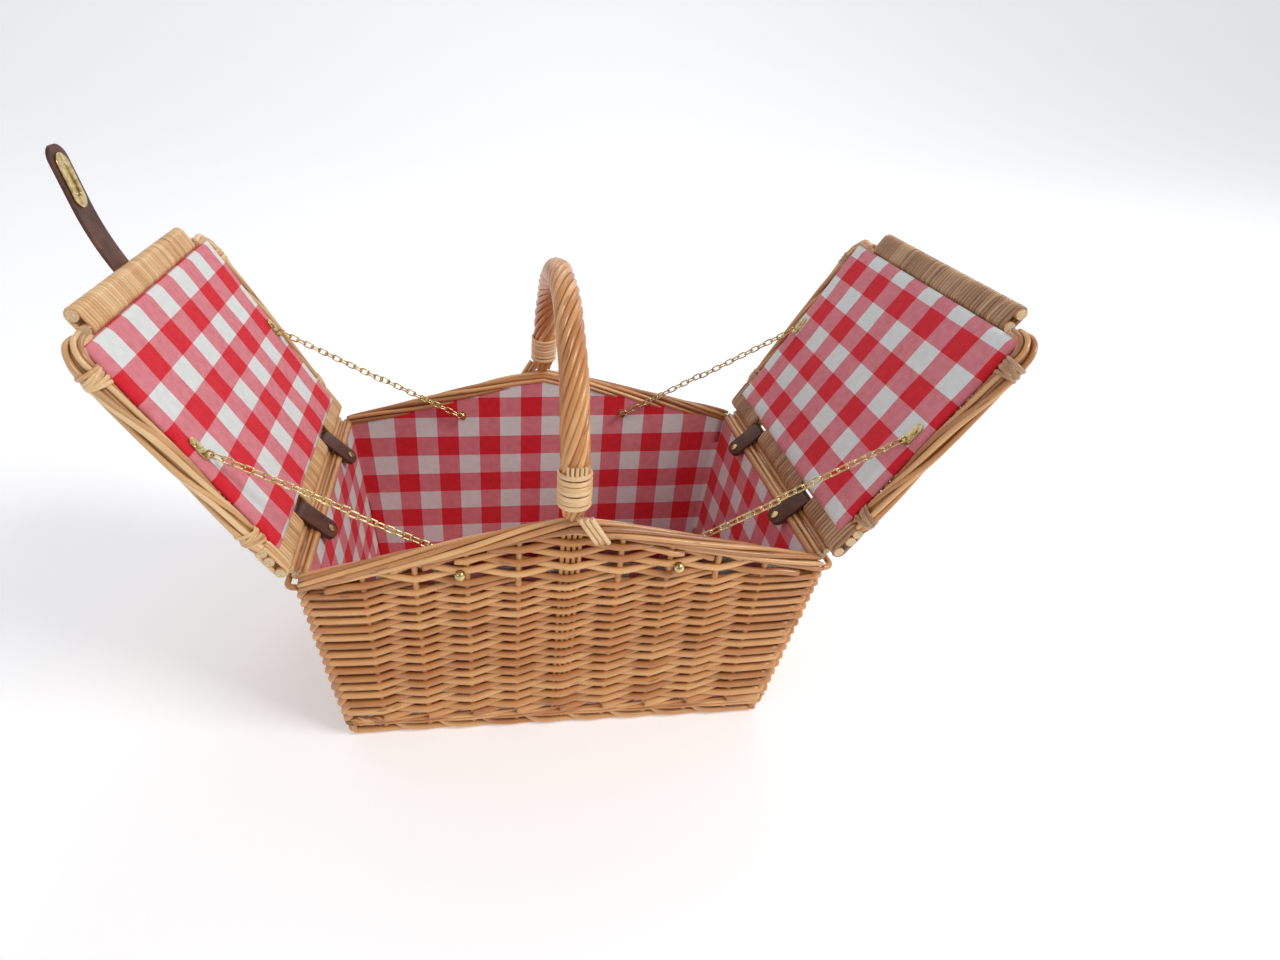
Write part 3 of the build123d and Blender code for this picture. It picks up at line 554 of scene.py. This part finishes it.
def base_weave():
    """Woven base board round its lengthwise sticks."""
    strands = Strands(11)
    sticks = np.array((-80, -48, -16, 16, 48, 80))
    reach_x = BASE_X - 10
    reach_y = BASE_Y - 10
    for y in sticks:
        x = np.linspace(-reach_x, reach_x, 24)
        strands.add(stack(x, y, 4.4), (0, 0, 1), 2.2, tone=0.4)
    pitch = 5.6
    rows = int(2 * reach_x / pitch)
    for row in range(rows):
        y = np.linspace(-reach_y, reach_y, 42)
        z = 4.2 + 1.9 * np.cos(pi * ((y + 16) / 32 + row))
        x = -reach_x + pitch * (row + 0.5) + 0.5 * np.sin(y / 21 + row)
        strands.add(stack(x, y, z), (0, 0, 1), 2.2, sides=6)
    strands.build("base_board_weave", "basket", "willow", WILLOW, "base_weave", "base_sticks")


# ---------------------------------------------------------------- rims
def bundle_tone_and_groove_shade(rod):
    """Tone of a rod in a bundle, unlike its neighbours' tones so that the grooves between rods show painted
    shade; the last rod is the dark core, painted shade seen between the rods.
    """
    return 0.15 + 0.75 * (rod * 3 % BUNDLE) / (BUNDLE - 1)


def rims():
    """Rods of the long and end rims, each bundle loosely twisted, and the corner ears."""
    centre_depth = 4.8
    centre_drop = 6.9
    for name, side in SIDES.items():
        strands = Strands(13 + side)
        for rod in range(BUNDLE + 1):
            reach = RIM_END - strands.random.uniform(0, 3)
            x = np.linspace(-reach, reach, 120)
            angle = x / 360 * tau + rod * tau / BUNDLE + 0.16 * np.sin(x / 23 + rod)
            radius = (5.0 + 0.2 * np.sin(x / 41 + 2 * rod)) * (rod < BUNDLE)
            z = rim_top(x) - centre_drop - 2.2 * np.exp(-(x / 22) ** 2) + radius * np.sin(angle)
            line = wall_point(side, x, z, centre_depth - radius * np.cos(angle))
            thickness = 2.0 + 0.12 * np.sin(x / 60 + rod * 2.1) + 1.1 * (rod == BUNDLE)
            # Rod tones are partly the rods' own and partly painted groove shade: neighbours contrast and the
            # dark core shows between them.
            strands.add(line, (0, side, 0.2), thickness, sides=12, taper=0.3, tone=bundle_tone_and_groove_shade(rod))
        strands.build(f"{name}_rim_rods", "basket", "willow", RIM_WILLOW, f"{name}_rim")
    ends = Strands(17)
    for side in ENDS.values():
        for x, z_rod, radius in ((191.5, 184.9, 3.1), (198, 184.9, 3.1), (200.8, 189.9, 2.5),
                                 (194.8, 188.2, 1.6)):
            y = np.linspace(-114.5, 114.5, 40)
            z = z_rod + 0.25 * np.sin(y / 19 + x)
            ends.add(stack(side * x, y, z), (0, 0, 1), radius, sides=12)
    ends.build("end_rim_rods", "basket", "willow", RIM_WILLOW, "end_rims")
    ears = Strands(19)
    ear_x = 203.8
    ear_z = 180.5
    inner_y = 86
    outer_y = side_y(ear_z) - 2.5
    bend = 6
    turn = np.linspace(0, pi / 2, 9)
    first = stack(np.linspace(RIM_END + 0.4, ear_x - bend, 4)[:-1], outer_y, ear_z)
    arc = stack(ear_x - bend + bend * np.sin(turn), outer_y - bend + bend * np.cos(turn), ear_z)
    last = stack(ear_x, np.linspace(outer_y - bend, inner_y, 10)[1:], ear_z)
    line = np.concatenate([first, arc, last])
    for x_side in ENDS.values():
        for y_side in SIDES.values():
            ears.add(line * (x_side, y_side, 1), (0, 0, 1), 2.35, sides=10)
    ears.build("corner_ear_rods", "basket", "willow", RIM_WILLOW, "corner_loops")


# ---------------------------------------------------------------- handle
def bow_frame(turn):
    """Point, outward and tangent directions of the handle's centre line; turn is 0 at the top."""
    outward = stack(0, np.sin(turn), np.cos(turn))
    tangent = stack(0, np.cos(turn), -np.sin(turn))
    return outward * BOW_RADIUS + (0, 0, BOW_Z), outward, tangent


def handle():
    """Rods twisted round the bow, bound with skein at both feet."""
    rods = Strands(23)
    count = 10
    turns = 3.2
    foot_turn = BOW_HALF_TURN - radians(2.5)
    turn = np.linspace(-foot_turn, foot_turn, 260)
    centre, outward, tangent = bow_frame(turn)
    sideways = np.cross(tangent, outward)
    share = (turn / BOW_HALF_TURN + 1) / 2
    gather = smooth((foot_turn - np.abs(turn)) / radians(6))
    for rod in range(count):
        angle = share * turns * tau + rod * tau / count + 0.05 * np.sin(share * 31 + rod)
        radial = outward * np.cos(angle)[:, None] + sideways * np.sin(angle)[:, None]
        reach = 5.6 + 2.3 * gather + 0.25 * np.sin(share * 23 + rod * 2)
        rods.add(centre + radial * reach[:, None], radial, 1.9 + 0.6 * gather, sides=10)
    rods.add(centre, outward, 5.5, sides=10, tone=0.1)
    rods.build("handle_rope", "basket", "willow", WILLOW, "handle_twist")
    skein = Strands(29)
    wraps = 7
    start, arc = [radians(degrees) for degrees in HANDLE_BINDING]
    round_turn = np.linspace(0, tau, 40, endpoint=False)
    for foot in (-1, 1):
        for wrap in range(wraps):
            middle = BOW_HALF_TURN - start - arc * (wrap + 0.5) / wraps
            lean = radians(skein.random.uniform(0.1, 0.6))
            centre, outward, tangent = bow_frame(foot * (middle + lean * np.cos(round_turn)))
            sideways = np.cross(tangent, outward)
            radial = outward * np.cos(round_turn)[:, None] + sideways * np.sin(round_turn)[:, None]
            half_width = arc * BOW_RADIUS / wraps / 2
            skein.add(centre + radial * (HANDLE_RADIUS + 0.6), radial, half_width * 1.05, thin=0.6, sides=10,
                      tone=skein.random.uniform(0.55, 0.9), closed=True)
        for tip in range(5):
            angle = -foot * pi / 2 + pi / 2 + (tip - 2) * 0.28
            share = np.linspace(0, 1, 6)
            turn = BOW_HALF_TURN - start - arc - radians(3.5) * (share - 0.4)
            centre, outward, tangent = bow_frame(foot * turn)
            radial = outward * cos(angle - pi / 2 * (1 - foot)) + np.cross(tangent, outward) * sin(angle)
            reach = HANDLE_RADIUS + 0.2 + 0.9 * share[:, None]
            skein.add(centre + radial * reach, radial, 1.25, sides=8, tone=0.7)
    skein.build("handle_skein", "basket", "pale_cane", CANE["left"], "handle_bindings")
    tails = Strands(31)
    for side in SIDES.values():
        for tail, x in enumerate((3, 7.2, 11.4)):
            share = np.linspace(0, 1, 12)
            z = PEAK + 3 - 23 * share
            line = stack(-side * (x + 14 * share), side * (side_y(z) + 4 + 0.4 * np.sin(share * 3)), z)
            tails.add(line, (0, side, 0), 1.85, sides=10, tone=0.7 + 0.08 * tail)
    tails.build("handle_tail_rods", "basket", "willow", CANE["left"], "handle_tails")


# ---------------------------------------------------------------- lids
def stadium(share, low, high, radius):
    """Points and outward directions round two half circles joined by straights, by share of the outline."""
    straight = high - low
    arc = pi * radius
    length = 2 * straight + 2 * arc
    place = (share % 1) * length
    s = np.where(place < straight, low + place, 0.0)
    n = np.where(place < straight, radius, 0.0)
    ds = np.zeros_like(place)
    dn = np.where(place < straight, 1.0, 0.0)
    for centre, start, begin in ((high, straight, pi / 2), (low, 2 * straight + arc, -pi / 2)):
        on = (place >= start) & (place < start + arc)
        angle = begin - (place - start) / radius
        s = np.where(on, centre + radius * np.cos(angle), s)
        n = np.where(on, radius * np.sin(angle), n)
        ds = np.where(on, np.cos(angle), ds)
        dn = np.where(on, np.sin(angle), dn)
    under = (place >= straight + arc) & (place < 2 * straight + arc)
    s = np.where(under, high - (place - straight - arc), s)
    n = np.where(under, -radius, n)
    dn = np.where(under, -1.0, dn)
    return s, n, ds, dn


def wrap_bar(strands, side, low, high, spans, width=3.5):
    """Close flat wrapping round a row of sticks, over each span of y."""
    for start, stop in spans:
        wraps = int((stop - start) / width)
        share = np.linspace(0, 1, 26, endpoint=False)
        s, n, ds, dn = stadium(share, low, high, STICK + 0.2)
        for wrap in range(wraps):
            lean = strands.random.uniform(0.2, 0.9)
            y = start + (wrap + 0.5) * (stop - start) / wraps + lean * np.cos(share * tau)
            half_width = width * strands.random.uniform(0.41, 0.47)
            strands.add(lid_place(side, s, y, n), lid_turn(side, ds, 0, dn), half_width, thin=0.95, sides=8,
                        tone=strands.random.uniform(0.35, 0.95), closed=True)


def sticks(strands, side, places, half, spread):
    """Straight lid sticks with slightly uneven ends."""
    for index, s in enumerate(places):
        ends = half + strands.random.uniform(-spread, spread * 0.2, 2)
        y = np.linspace(-ends[0], ends[1], 16)
        tone = 0.3 + 0.2 * index
        strands.add(lid_place(side, s, y, 0), lid_turn(side, 0, 0, 1), STICK, sides=14, tone=tone)


def lid(name, side):
    """All the willow of one lid."""
    body = f"{name}_lid"
    # This lid's skein cane is painted light on the left lid and painted shade on the right lid.
    cane = CANE[name]
    slot = CANE_SLOT[name]

    weave = Strands(41 + side)
    stakes = np.array((-90, -60, -30, 0, 30, 60, 90))
    middle = -0.4
    pitch = 4.9
    reach = PANEL_HALF + 2.8
    for y_stake in stakes:
        s = np.linspace(BORDER_START, PANEL_S[1] + 2, 12)
        weave.add(lid_place(side, s, y_stake, middle + 0.5), lid_turn(side, 0, 0, 1), 2.1, tone=0.4)
    y = np.linspace(-reach, reach, 84)
    for row in range(-6, 42):
        phase = y / 30
        s = PANEL_S[0] + pitch * (row + 0.5 + phase) + 0.3 * np.sin(y / 17 + row)
        n = middle + 1.9 * np.cos(pi * (phase + row))
        keep = (s > PANEL_S[0] + 1) & (s < PANEL_S[1] - 1)
        if keep.sum() > 6:
            weave.add(lid_place(side, s, y, n)[keep], lid_turn(side, 0, 0, 1), pitch * 0.5, sides=8)
    weave.build(f"{name}_lid_randing", body, "willow", WILLOW, f"{name}_lid_weave", f"{name}_lid_stakes")

    bar = Strands(43 + side)
    sticks(bar, side, BAR_S, BAR_HALF, 1.5)
    bar.build(f"{name}_lid_bar_sticks", body, "willow", WILLOW, f"{name}_lid_hinge_sticks")
    lip = Strands(47 + side)
    sticks(lip, side, LIP_S, LIP_HALF + 0.8, 0.8)
    lip.build(f"{name}_lid_lip_rods", body, "willow", WILLOW, f"{name}_lid_lip_sticks")

    wrap = Strands(53 + side)
    wrap_bar(wrap, side, BAR_S[0], BAR_S[2], ((-BAR_HALF + 0.6, -STRAP_Y - WINDOW),
                                              (-STRAP_Y + WINDOW, STRAP_Y - WINDOW),
                                              (STRAP_Y + WINDOW, BAR_HALF - 0.6)))
    wrap.build(f"{name}_lid_bar_skein", body, slot, cane, f"{name}_lid_hinge_wrap")
    wrap = Strands(59 + side)
    wrap_bar(wrap, side, LIP_S[0], LIP_S[1], ((-LIP_HALF + 0.6, LIP_HALF - 0.6),))
    wrap.build(f"{name}_lid_lip_skein", body, slot, cane, f"{name}_lid_lip_wrap")

    border = Strands(61 + side)
    turn_radius = 11
    quarter = turn_radius * pi / 2
    for y_side in (-1, 1):
        for rod in range(BUNDLE + 1):
            path = np.linspace(BORDER_START - 2, BORDER_TURN + quarter + border.random.uniform(6, 12), 90)
            corner = np.clip(path - BORDER_TURN, 0, quarter) / turn_radius
            twist = y_side * path / 240 * tau + rod * tau / BUNDLE + 0.35 * np.sin(path / 21 + 2 * rod)
            loose = (1 + 0.12 * np.sin(path / 200 * pi)) * (rod < BUNDLE)
            out = 4.9 * loose * np.cos(twist)
            s = np.minimum(path, BORDER_TURN) + (turn_radius + out) * np.sin(corner)
            past = np.maximum(path - BORDER_TURN - quarter, 0)
            y = y_side * (BORDER_MIDDLE - turn_radius + (turn_radius + out) * np.cos(corner) - past)
            line = lid_place(side, s, y, 4.3 * loose * np.sin(twist))
            thickness = 2.0 + 0.25 * np.sin(path / 37 + rod) + 1.3 * (rod == BUNDLE)
            facing = lid_turn(side, 0, 0.3, 1)
            # Rod tones are partly the rods' own and partly painted groove shade: neighbours contrast and the
            # dark core shows between them.
            border.add(line, facing, thickness, sides=10, taper=0.3, tone=bundle_tone_and_groove_shade(rod))
    # The left lid's border rods take the pale cane as a painted highlight; the right lid's border rods take
    # the rim willow.
    rods = CANE["left"] if side < 0 else RIM_WILLOW
    border.build(f"{name}_lid_border_rods", body, "willow", rods, f"{name}_lid_borders")

    binding = Strands(67 + side)
    angle = np.linspace(0, tau, 30, endpoint=False)
    for y_side in (-1, 1):
        for low, high in ((27.5, 37.5), (162, 173)):
            wraps = 6
            for wrap in range(wraps):
                place = low + (high - low) * (wrap + 0.5) / wraps
                s_wrap = place + binding.random.uniform(-3, 3) * np.cos(angle + 0.7)
                reach = 6.5 + 0.5 * (wrap % 2)
                y = y_side * (BORDER_MIDDLE + (reach + 0.3) * np.cos(angle))
                line = lid_place(side, s_wrap, y, reach * np.sin(angle))
                facing = lid_turn(side, 0, y_side * np.cos(angle), np.sin(angle))
                tone = binding.random.uniform(0.3, 0.9)
                binding.add(line, facing, 1.45, thin=0.6, sides=8, closed=True, tone=tone)
    binding.build(f"{name}_lid_corner_skein", body, slot, cane, f"{name}_lid_bindings")


# ---------------------------------------------------------------- cloth
def gingham_sheet(name, points, cloth, body, closed=False):
    """A grid of points as a smooth sheet of gingham, with the cloth's own coordinates."""
    rows, columns = points.shape[:2]
    row = np.arange(rows - 1)[:, None]
    column = np.arange(columns if closed else columns - 1)[None, :]
    beside = (column + 1) % columns
    quads = stack(row * columns + column, row * columns + beside, (row + 1) * columns + beside,
                  (row + 1) * columns + column)
    mesh = bpy.data.meshes.new(name)
    mesh.from_pydata((points.reshape(-1, 3) * MM).tolist(), [], quads.reshape(-1, 4).tolist())
    layer = mesh.attributes.new("cloth", "FLOAT_VECTOR", "POINT")
    layer.data.foreach_set("vector", (cloth.reshape(-1, 3) * MM).ravel())
    mesh.polygons.foreach_set("use_smooth", np.ones(len(mesh.polygons), bool))
    mesh.materials.append(GINGHAM)
    piece = bpy.data.objects.new(name, mesh)
    bpy.context.scene.collection.objects.link(piece)
    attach(piece, body)
    return piece


def edge_places(reach, count):
    """Places between two limits, with each limit given twice so that the cloth can turn down there."""
    low, high = reach
    return np.concatenate([[low] * 2, np.linspace(low + 0.5, high - 0.5, count), [high] * 2])


def lid_lining(name, side):
    """The quilted gingham of a lid, turned over at its edges."""
    edge = 4.5
    s = edge_places(LINING_S, 90)
    y = edge_places((-LINING_HALF, LINING_HALF), 116)
    s_grid, y_grid = np.meshgrid(s, y, indexing="ij")
    inside = np.minimum(np.minimum(s_grid - s[0], s[-1] - s_grid), LINING_HALF - np.abs(y_grid))
    crown = smooth((inside + 0.2) / 5)
    ripple = 0.35 * np.sin(s_grid / 9 + 1.3 * np.sin(y_grid / 31)) * np.sin(y_grid / 14 + s_grid / 40)
    pucker = 0.45 * np.sin(y_grid / 3.6) * np.exp(-((s_grid - s[0]) / 9) ** 2)
    n = LINING_N - 1.1 - edge * 0.35 * (1 - crown) + ripple + pucker * crown
    n = np.where(inside < 0.3, LINING_N - edge, n)
    points = lid_place(side, s_grid, y_grid, n)
    first_s, first_y = LINING_PHASE[name]
    cloth = stack(first_s - s_grid, first_y - side * y_grid, 0)
    if side < 0:
        points = points[:, ::-1]
        cloth = cloth[:, ::-1]
    piece = gingham_sheet(f"{name}_lid_gingham", points, cloth, f"{name}_lid")
    thickness = piece.modifiers.new("thickness", "SOLIDIFY")
    thickness.thickness = 0.8 * MM
    thickness.offset = -1
    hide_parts(f"{name}_lid_lining")


def body_lining():
    """The gingham lining of the body: one sheet round the walls and one on the floor."""
    depth = 9.6
    columns = 420
    stations = np.linspace(0, 16, columns, endpoint=False)
    low = 9.4
    level = outline(stations, 100, depth)
    long_wall = np.abs(level[:, 1]) > side_y(100) - CORNER - 3
    top = np.where(long_wall, rim_top(level[:, 0]) - RIM_DROP + 5, WEAVE_HIGH + 4)
    share = np.linspace(0, 1, 60)[:, None]
    z = low + (top - low)[None, :] * share
    swell = np.sin(stations * 9 + 1.5 * np.sin(stations * 3))[None, :]
    folds = 0.5 + 0.45 * swell * np.sin(share * 5 + stations[None, :])
    points = outline(stations[None, :], z, depth + folds)
    steps = np.linalg.norm(np.roll(level, -1, 0) - level, axis=1)
    around = np.concatenate([[0], np.cumsum(steps)[:-1]])
    cloth = stack(around[None, :], z, 0)
    walls = gingham_sheet("body_gingham_walls", points[::-1], cloth[::-1], "basket", closed=True)
    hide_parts("body_lining")
    x, y = np.meshgrid(np.linspace(-1, 1, 60), np.linspace(-1, 1, 40))
    reach_x = end_x(low) - depth - 0.6
    reach_y = side_y(low) - depth - 0.6
    bump = 0.4 + 0.4 * np.sin(x * 9 + y * 3) * np.sin(y * 7)
    points = stack(x * reach_x, y * reach_y, low - 0.2 + bump)
    floor = gingham_sheet("body_gingham_floor", points, points, "basket")


# ---------------------------------------------------------------- leather and brass
def dress(node, body, material, bevel):
    """A CAD node's shape with softened edges and a finished material."""
    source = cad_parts[node]
    mesh = source.data.copy()
    mesh.materials.clear()
    mesh.materials.append(material)
    mesh.polygons.foreach_set("use_smooth", np.ones(len(mesh.polygons), bool))
    piece = bpy.data.objects.new(f"{node}_finished", mesh)
    bpy.context.scene.collection.objects.link(piece)
    weld = piece.modifiers.new("weld", "WELD")
    weld.merge_threshold = 0.00001
    if bevel:
        modifier = piece.modifiers.new("bevel", "BEVEL")
        modifier.width = bevel * MM
        modifier.segments = 2
        modifier.limit_method = "ANGLE"
        modifier.angle_limit = radians(35)
        modifier.harden_normals = True
    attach(piece, body)
    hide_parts(node)


def closing_strap():
    """The closing strap as one piece of leather that bends at the lid's lip, with a slot for its eyelet."""
    tilt = radians(4)
    turn = radians(14)
    half = 11.5
    slot_half = (10.9, 3.7)
    tip_length = 9
    run, arc, tail = 4, 40, 36
    length = run + arc + tail
    eyelet = run + arc + 14
    slot_start = eyelet - slot_half[0]
    slot_end = eyelet + slot_half[0]
    along = np.concatenate([np.linspace(STRAP_START - STRAP_BEND, 0, 24)[:-1],
                            np.linspace(0, slot_start, 30),
                            np.linspace(slot_start, slot_end, 12)[1:],
                            np.linspace(slot_end, length, 12)[1:]])
    past = np.clip(along - run, 0, arc)
    heading = np.where(along > 0, tilt, 0) + turn * past / arc
    steps = np.diff(along, prepend=along[0])
    middle = heading - np.diff(heading, prepend=heading[0]) / 2
    s = STRAP_START + np.cumsum(steps * np.cos(middle))
    n = STRAP_LEVEL + np.cumsum(steps * np.sin(middle))
    slot_edge = slot_half[1] / half
    across = np.array([-1, -0.8, -0.55, -slot_edge, slot_edge, 0.55, 0.8, 1])
    left_of_slot = 3
    tip = np.clip((along - length + tip_length) / tip_length, 0, 1)
    y = across * (half * np.sqrt(1 - 0.92 * tip ** 2))[:, None]
    slot = np.abs(along - eyelet) < slot_half[0] + 0.1
    points = lid_place(-1, s[:, None], y, n[:, None])
    rows, columns = y.shape
    faces = []
    for row in range(rows - 1):
        for column in range(columns - 1):
            in_slot = slot[row] and slot[row + 1] and column == left_of_slot
            if not in_slot:
                corner = row * columns + column
                faces.append((corner, corner + columns, corner + columns + 1, corner + 1))
    mesh = bpy.data.meshes.new("closing_strap_leather")
    mesh.from_pydata((points.reshape(-1, 3) * MM).tolist(), [], faces)
    mesh.materials.append(LEATHER)
    piece = bpy.data.objects.new("closing_strap_leather", mesh)
    bpy.context.scene.collection.objects.link(piece)
    solid = piece.modifiers.new("solid", "SOLIDIFY")
    solid.thickness = 2.2 * MM
    solid.offset = 0
    edge = piece.modifiers.new("edge", "BEVEL")
    edge.width = 0.5 * MM
    edge.segments = 2
    edge.limit_method = "ANGLE"
    edge.angle_limit = radians(50)
    finished = bpy.data.meshes.new_from_object(piece.evaluated_get(bpy.context.evaluated_depsgraph_get()))
    piece.modifiers.clear()
    piece.data = finished
    finished.polygons.foreach_set("use_smooth", np.ones(len(finished.polygons), bool))
    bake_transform(piece)
    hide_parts("closing_strap_base", "closing_strap")


def fittings():
    """Leather straps and brass fittings."""
    for name in ENDS:
        dress(f"{name}_hinge_straps", "basket", LEATHER, 0.5)
        dress(f"{name}_lid_chain_tabs", f"{name}_lid", BRASS, 0.15)
        for side in SIDES:
            for half in ("wall", "lid"):
                node = f"{name}_{side}_chain_{half}"
                dress(node, node, BRASS, 0)
    for node, body, bevel in (("hinge_rivets", "basket", 0.4), ("wall_studs", "basket", 0.2),
                              ("closing_rivets", "left_lid", 0.4), ("lock_plate", "right_lid", 0.4),
                              ("lock_screws", "right_lid", 0.3), ("turn_staple", "turn_staple", 0.5),
                              ("eyelet_plate", "closing_strap", 0.3)):
        dress(node, body, BRASS, bevel)
    closing_strap()


# ---------------------------------------------------------------- studio
def studio():
    """A pale floor that sweeps up behind, soft light and the camera."""
    mesh = bpy.data.meshes.new("floor")
    half_width = 14
    depth = 9
    sweep = 2.5
    turn = np.linspace(0, pi / 2, 24)
    curve = zip(sweep + sweep * np.sin(turn), sweep - sweep * np.cos(turn))
    back = [(-depth, 0), *curve, (2 * sweep, depth)]
    points = [(x, y, z) for y, z in back for x in (-half_width, half_width)]
    mesh.from_pydata(points, [], [(2 * i, 2 * i + 1, 2 * i + 3, 2 * i + 2) for i in range(len(back) - 1)])
    mesh.polygons.foreach_set("use_smooth", np.ones(len(mesh.polygons), bool))
    floor = bpy.data.objects.new("floor", mesh)
    shader = Shader("floor")
    mesh.materials.append(shader.connect(Base_Color=(0.9, 0.9, 0.9), Roughness=0.9, Specular_IOR_Level=0.1,
                                         Emission_Color=(0.96, 0.97, 1.0), Emission_Strength=0.22))
    bpy.context.scene.collection.objects.link(floor)
    world = bpy.data.worlds.new("studio")
    bpy.context.scene.world = world
    world.use_nodes = True
    sky = world.node_tree.nodes["Background"].inputs
    sky["Color"].default_value = (0.93, 0.95, 1.0, 1)
    sky["Strength"].default_value = 0.5
    for name, place, size, power, colour in (("key", (2.4, -1.3, 2.9), 1.3, 74, (1.0, 0.98, 0.95)),
                                             ("fill", (-2.8, -1.9, 2.0), 1.8, 17, (0.98, 0.98, 1.0)),
                                             ("back", (0.9, 2.8, 3.0), 1.8, 20, (1.0, 0.98, 0.95))):
        light = bpy.data.lights.new(name, "AREA")
        light.size = size
        light.energy = power
        light.color = colour
        lamp = bpy.data.objects.new(name, light)
        lamp.matrix_world = look(np.array(place), LIT - place, 0)
        bpy.context.scene.collection.objects.link(lamp)
    scene = bpy.context.scene
    scene.view_settings.view_transform = "Standard"
    camera_data = bpy.data.cameras.new("camera")
    camera_data.sensor_width = 36
    camera_data.lens = 20.221875
    camera_data.shift_x = 0.067578125
    camera_data.clip_start = 0.01
    camera = bpy.data.objects.new("camera", camera_data)
    yaw = radians(6.8)
    pitch = radians(-33.0)
    forward = np.array([sin(yaw) * cos(pitch), cos(yaw) * cos(pitch), sin(pitch)])
    camera.matrix_world = look(CAMERA, forward, radians(2.3))
    scene.collection.objects.link(camera)
    scene.camera = camera


def look(place, forward, roll):
    """Matrix of a camera or light at a place, looking forward."""
    forward = unit(forward)
    right = unit(np.cross(forward, (0, 0, 1)))
    up = np.cross(right, forward)
    rolled = right * cos(roll) + up * sin(roll)
    upward = up * cos(roll) - right * sin(roll)
    matrix = np.eye(4)
    matrix[:3, 0] = rolled
    matrix[:3, 1] = upward
    matrix[:3, 2] = -forward
    matrix[:3, 3] = place
    return Matrix(matrix.tolist())


body_weave()
gable_weave()
wale_and_foot()
base_weave()
rims()
handle()
for lid_name, lid_side in ENDS.items():
    lid(lid_name, lid_side)
    lid_lining(lid_name, lid_side)
body_lining()
fittings()
studio()
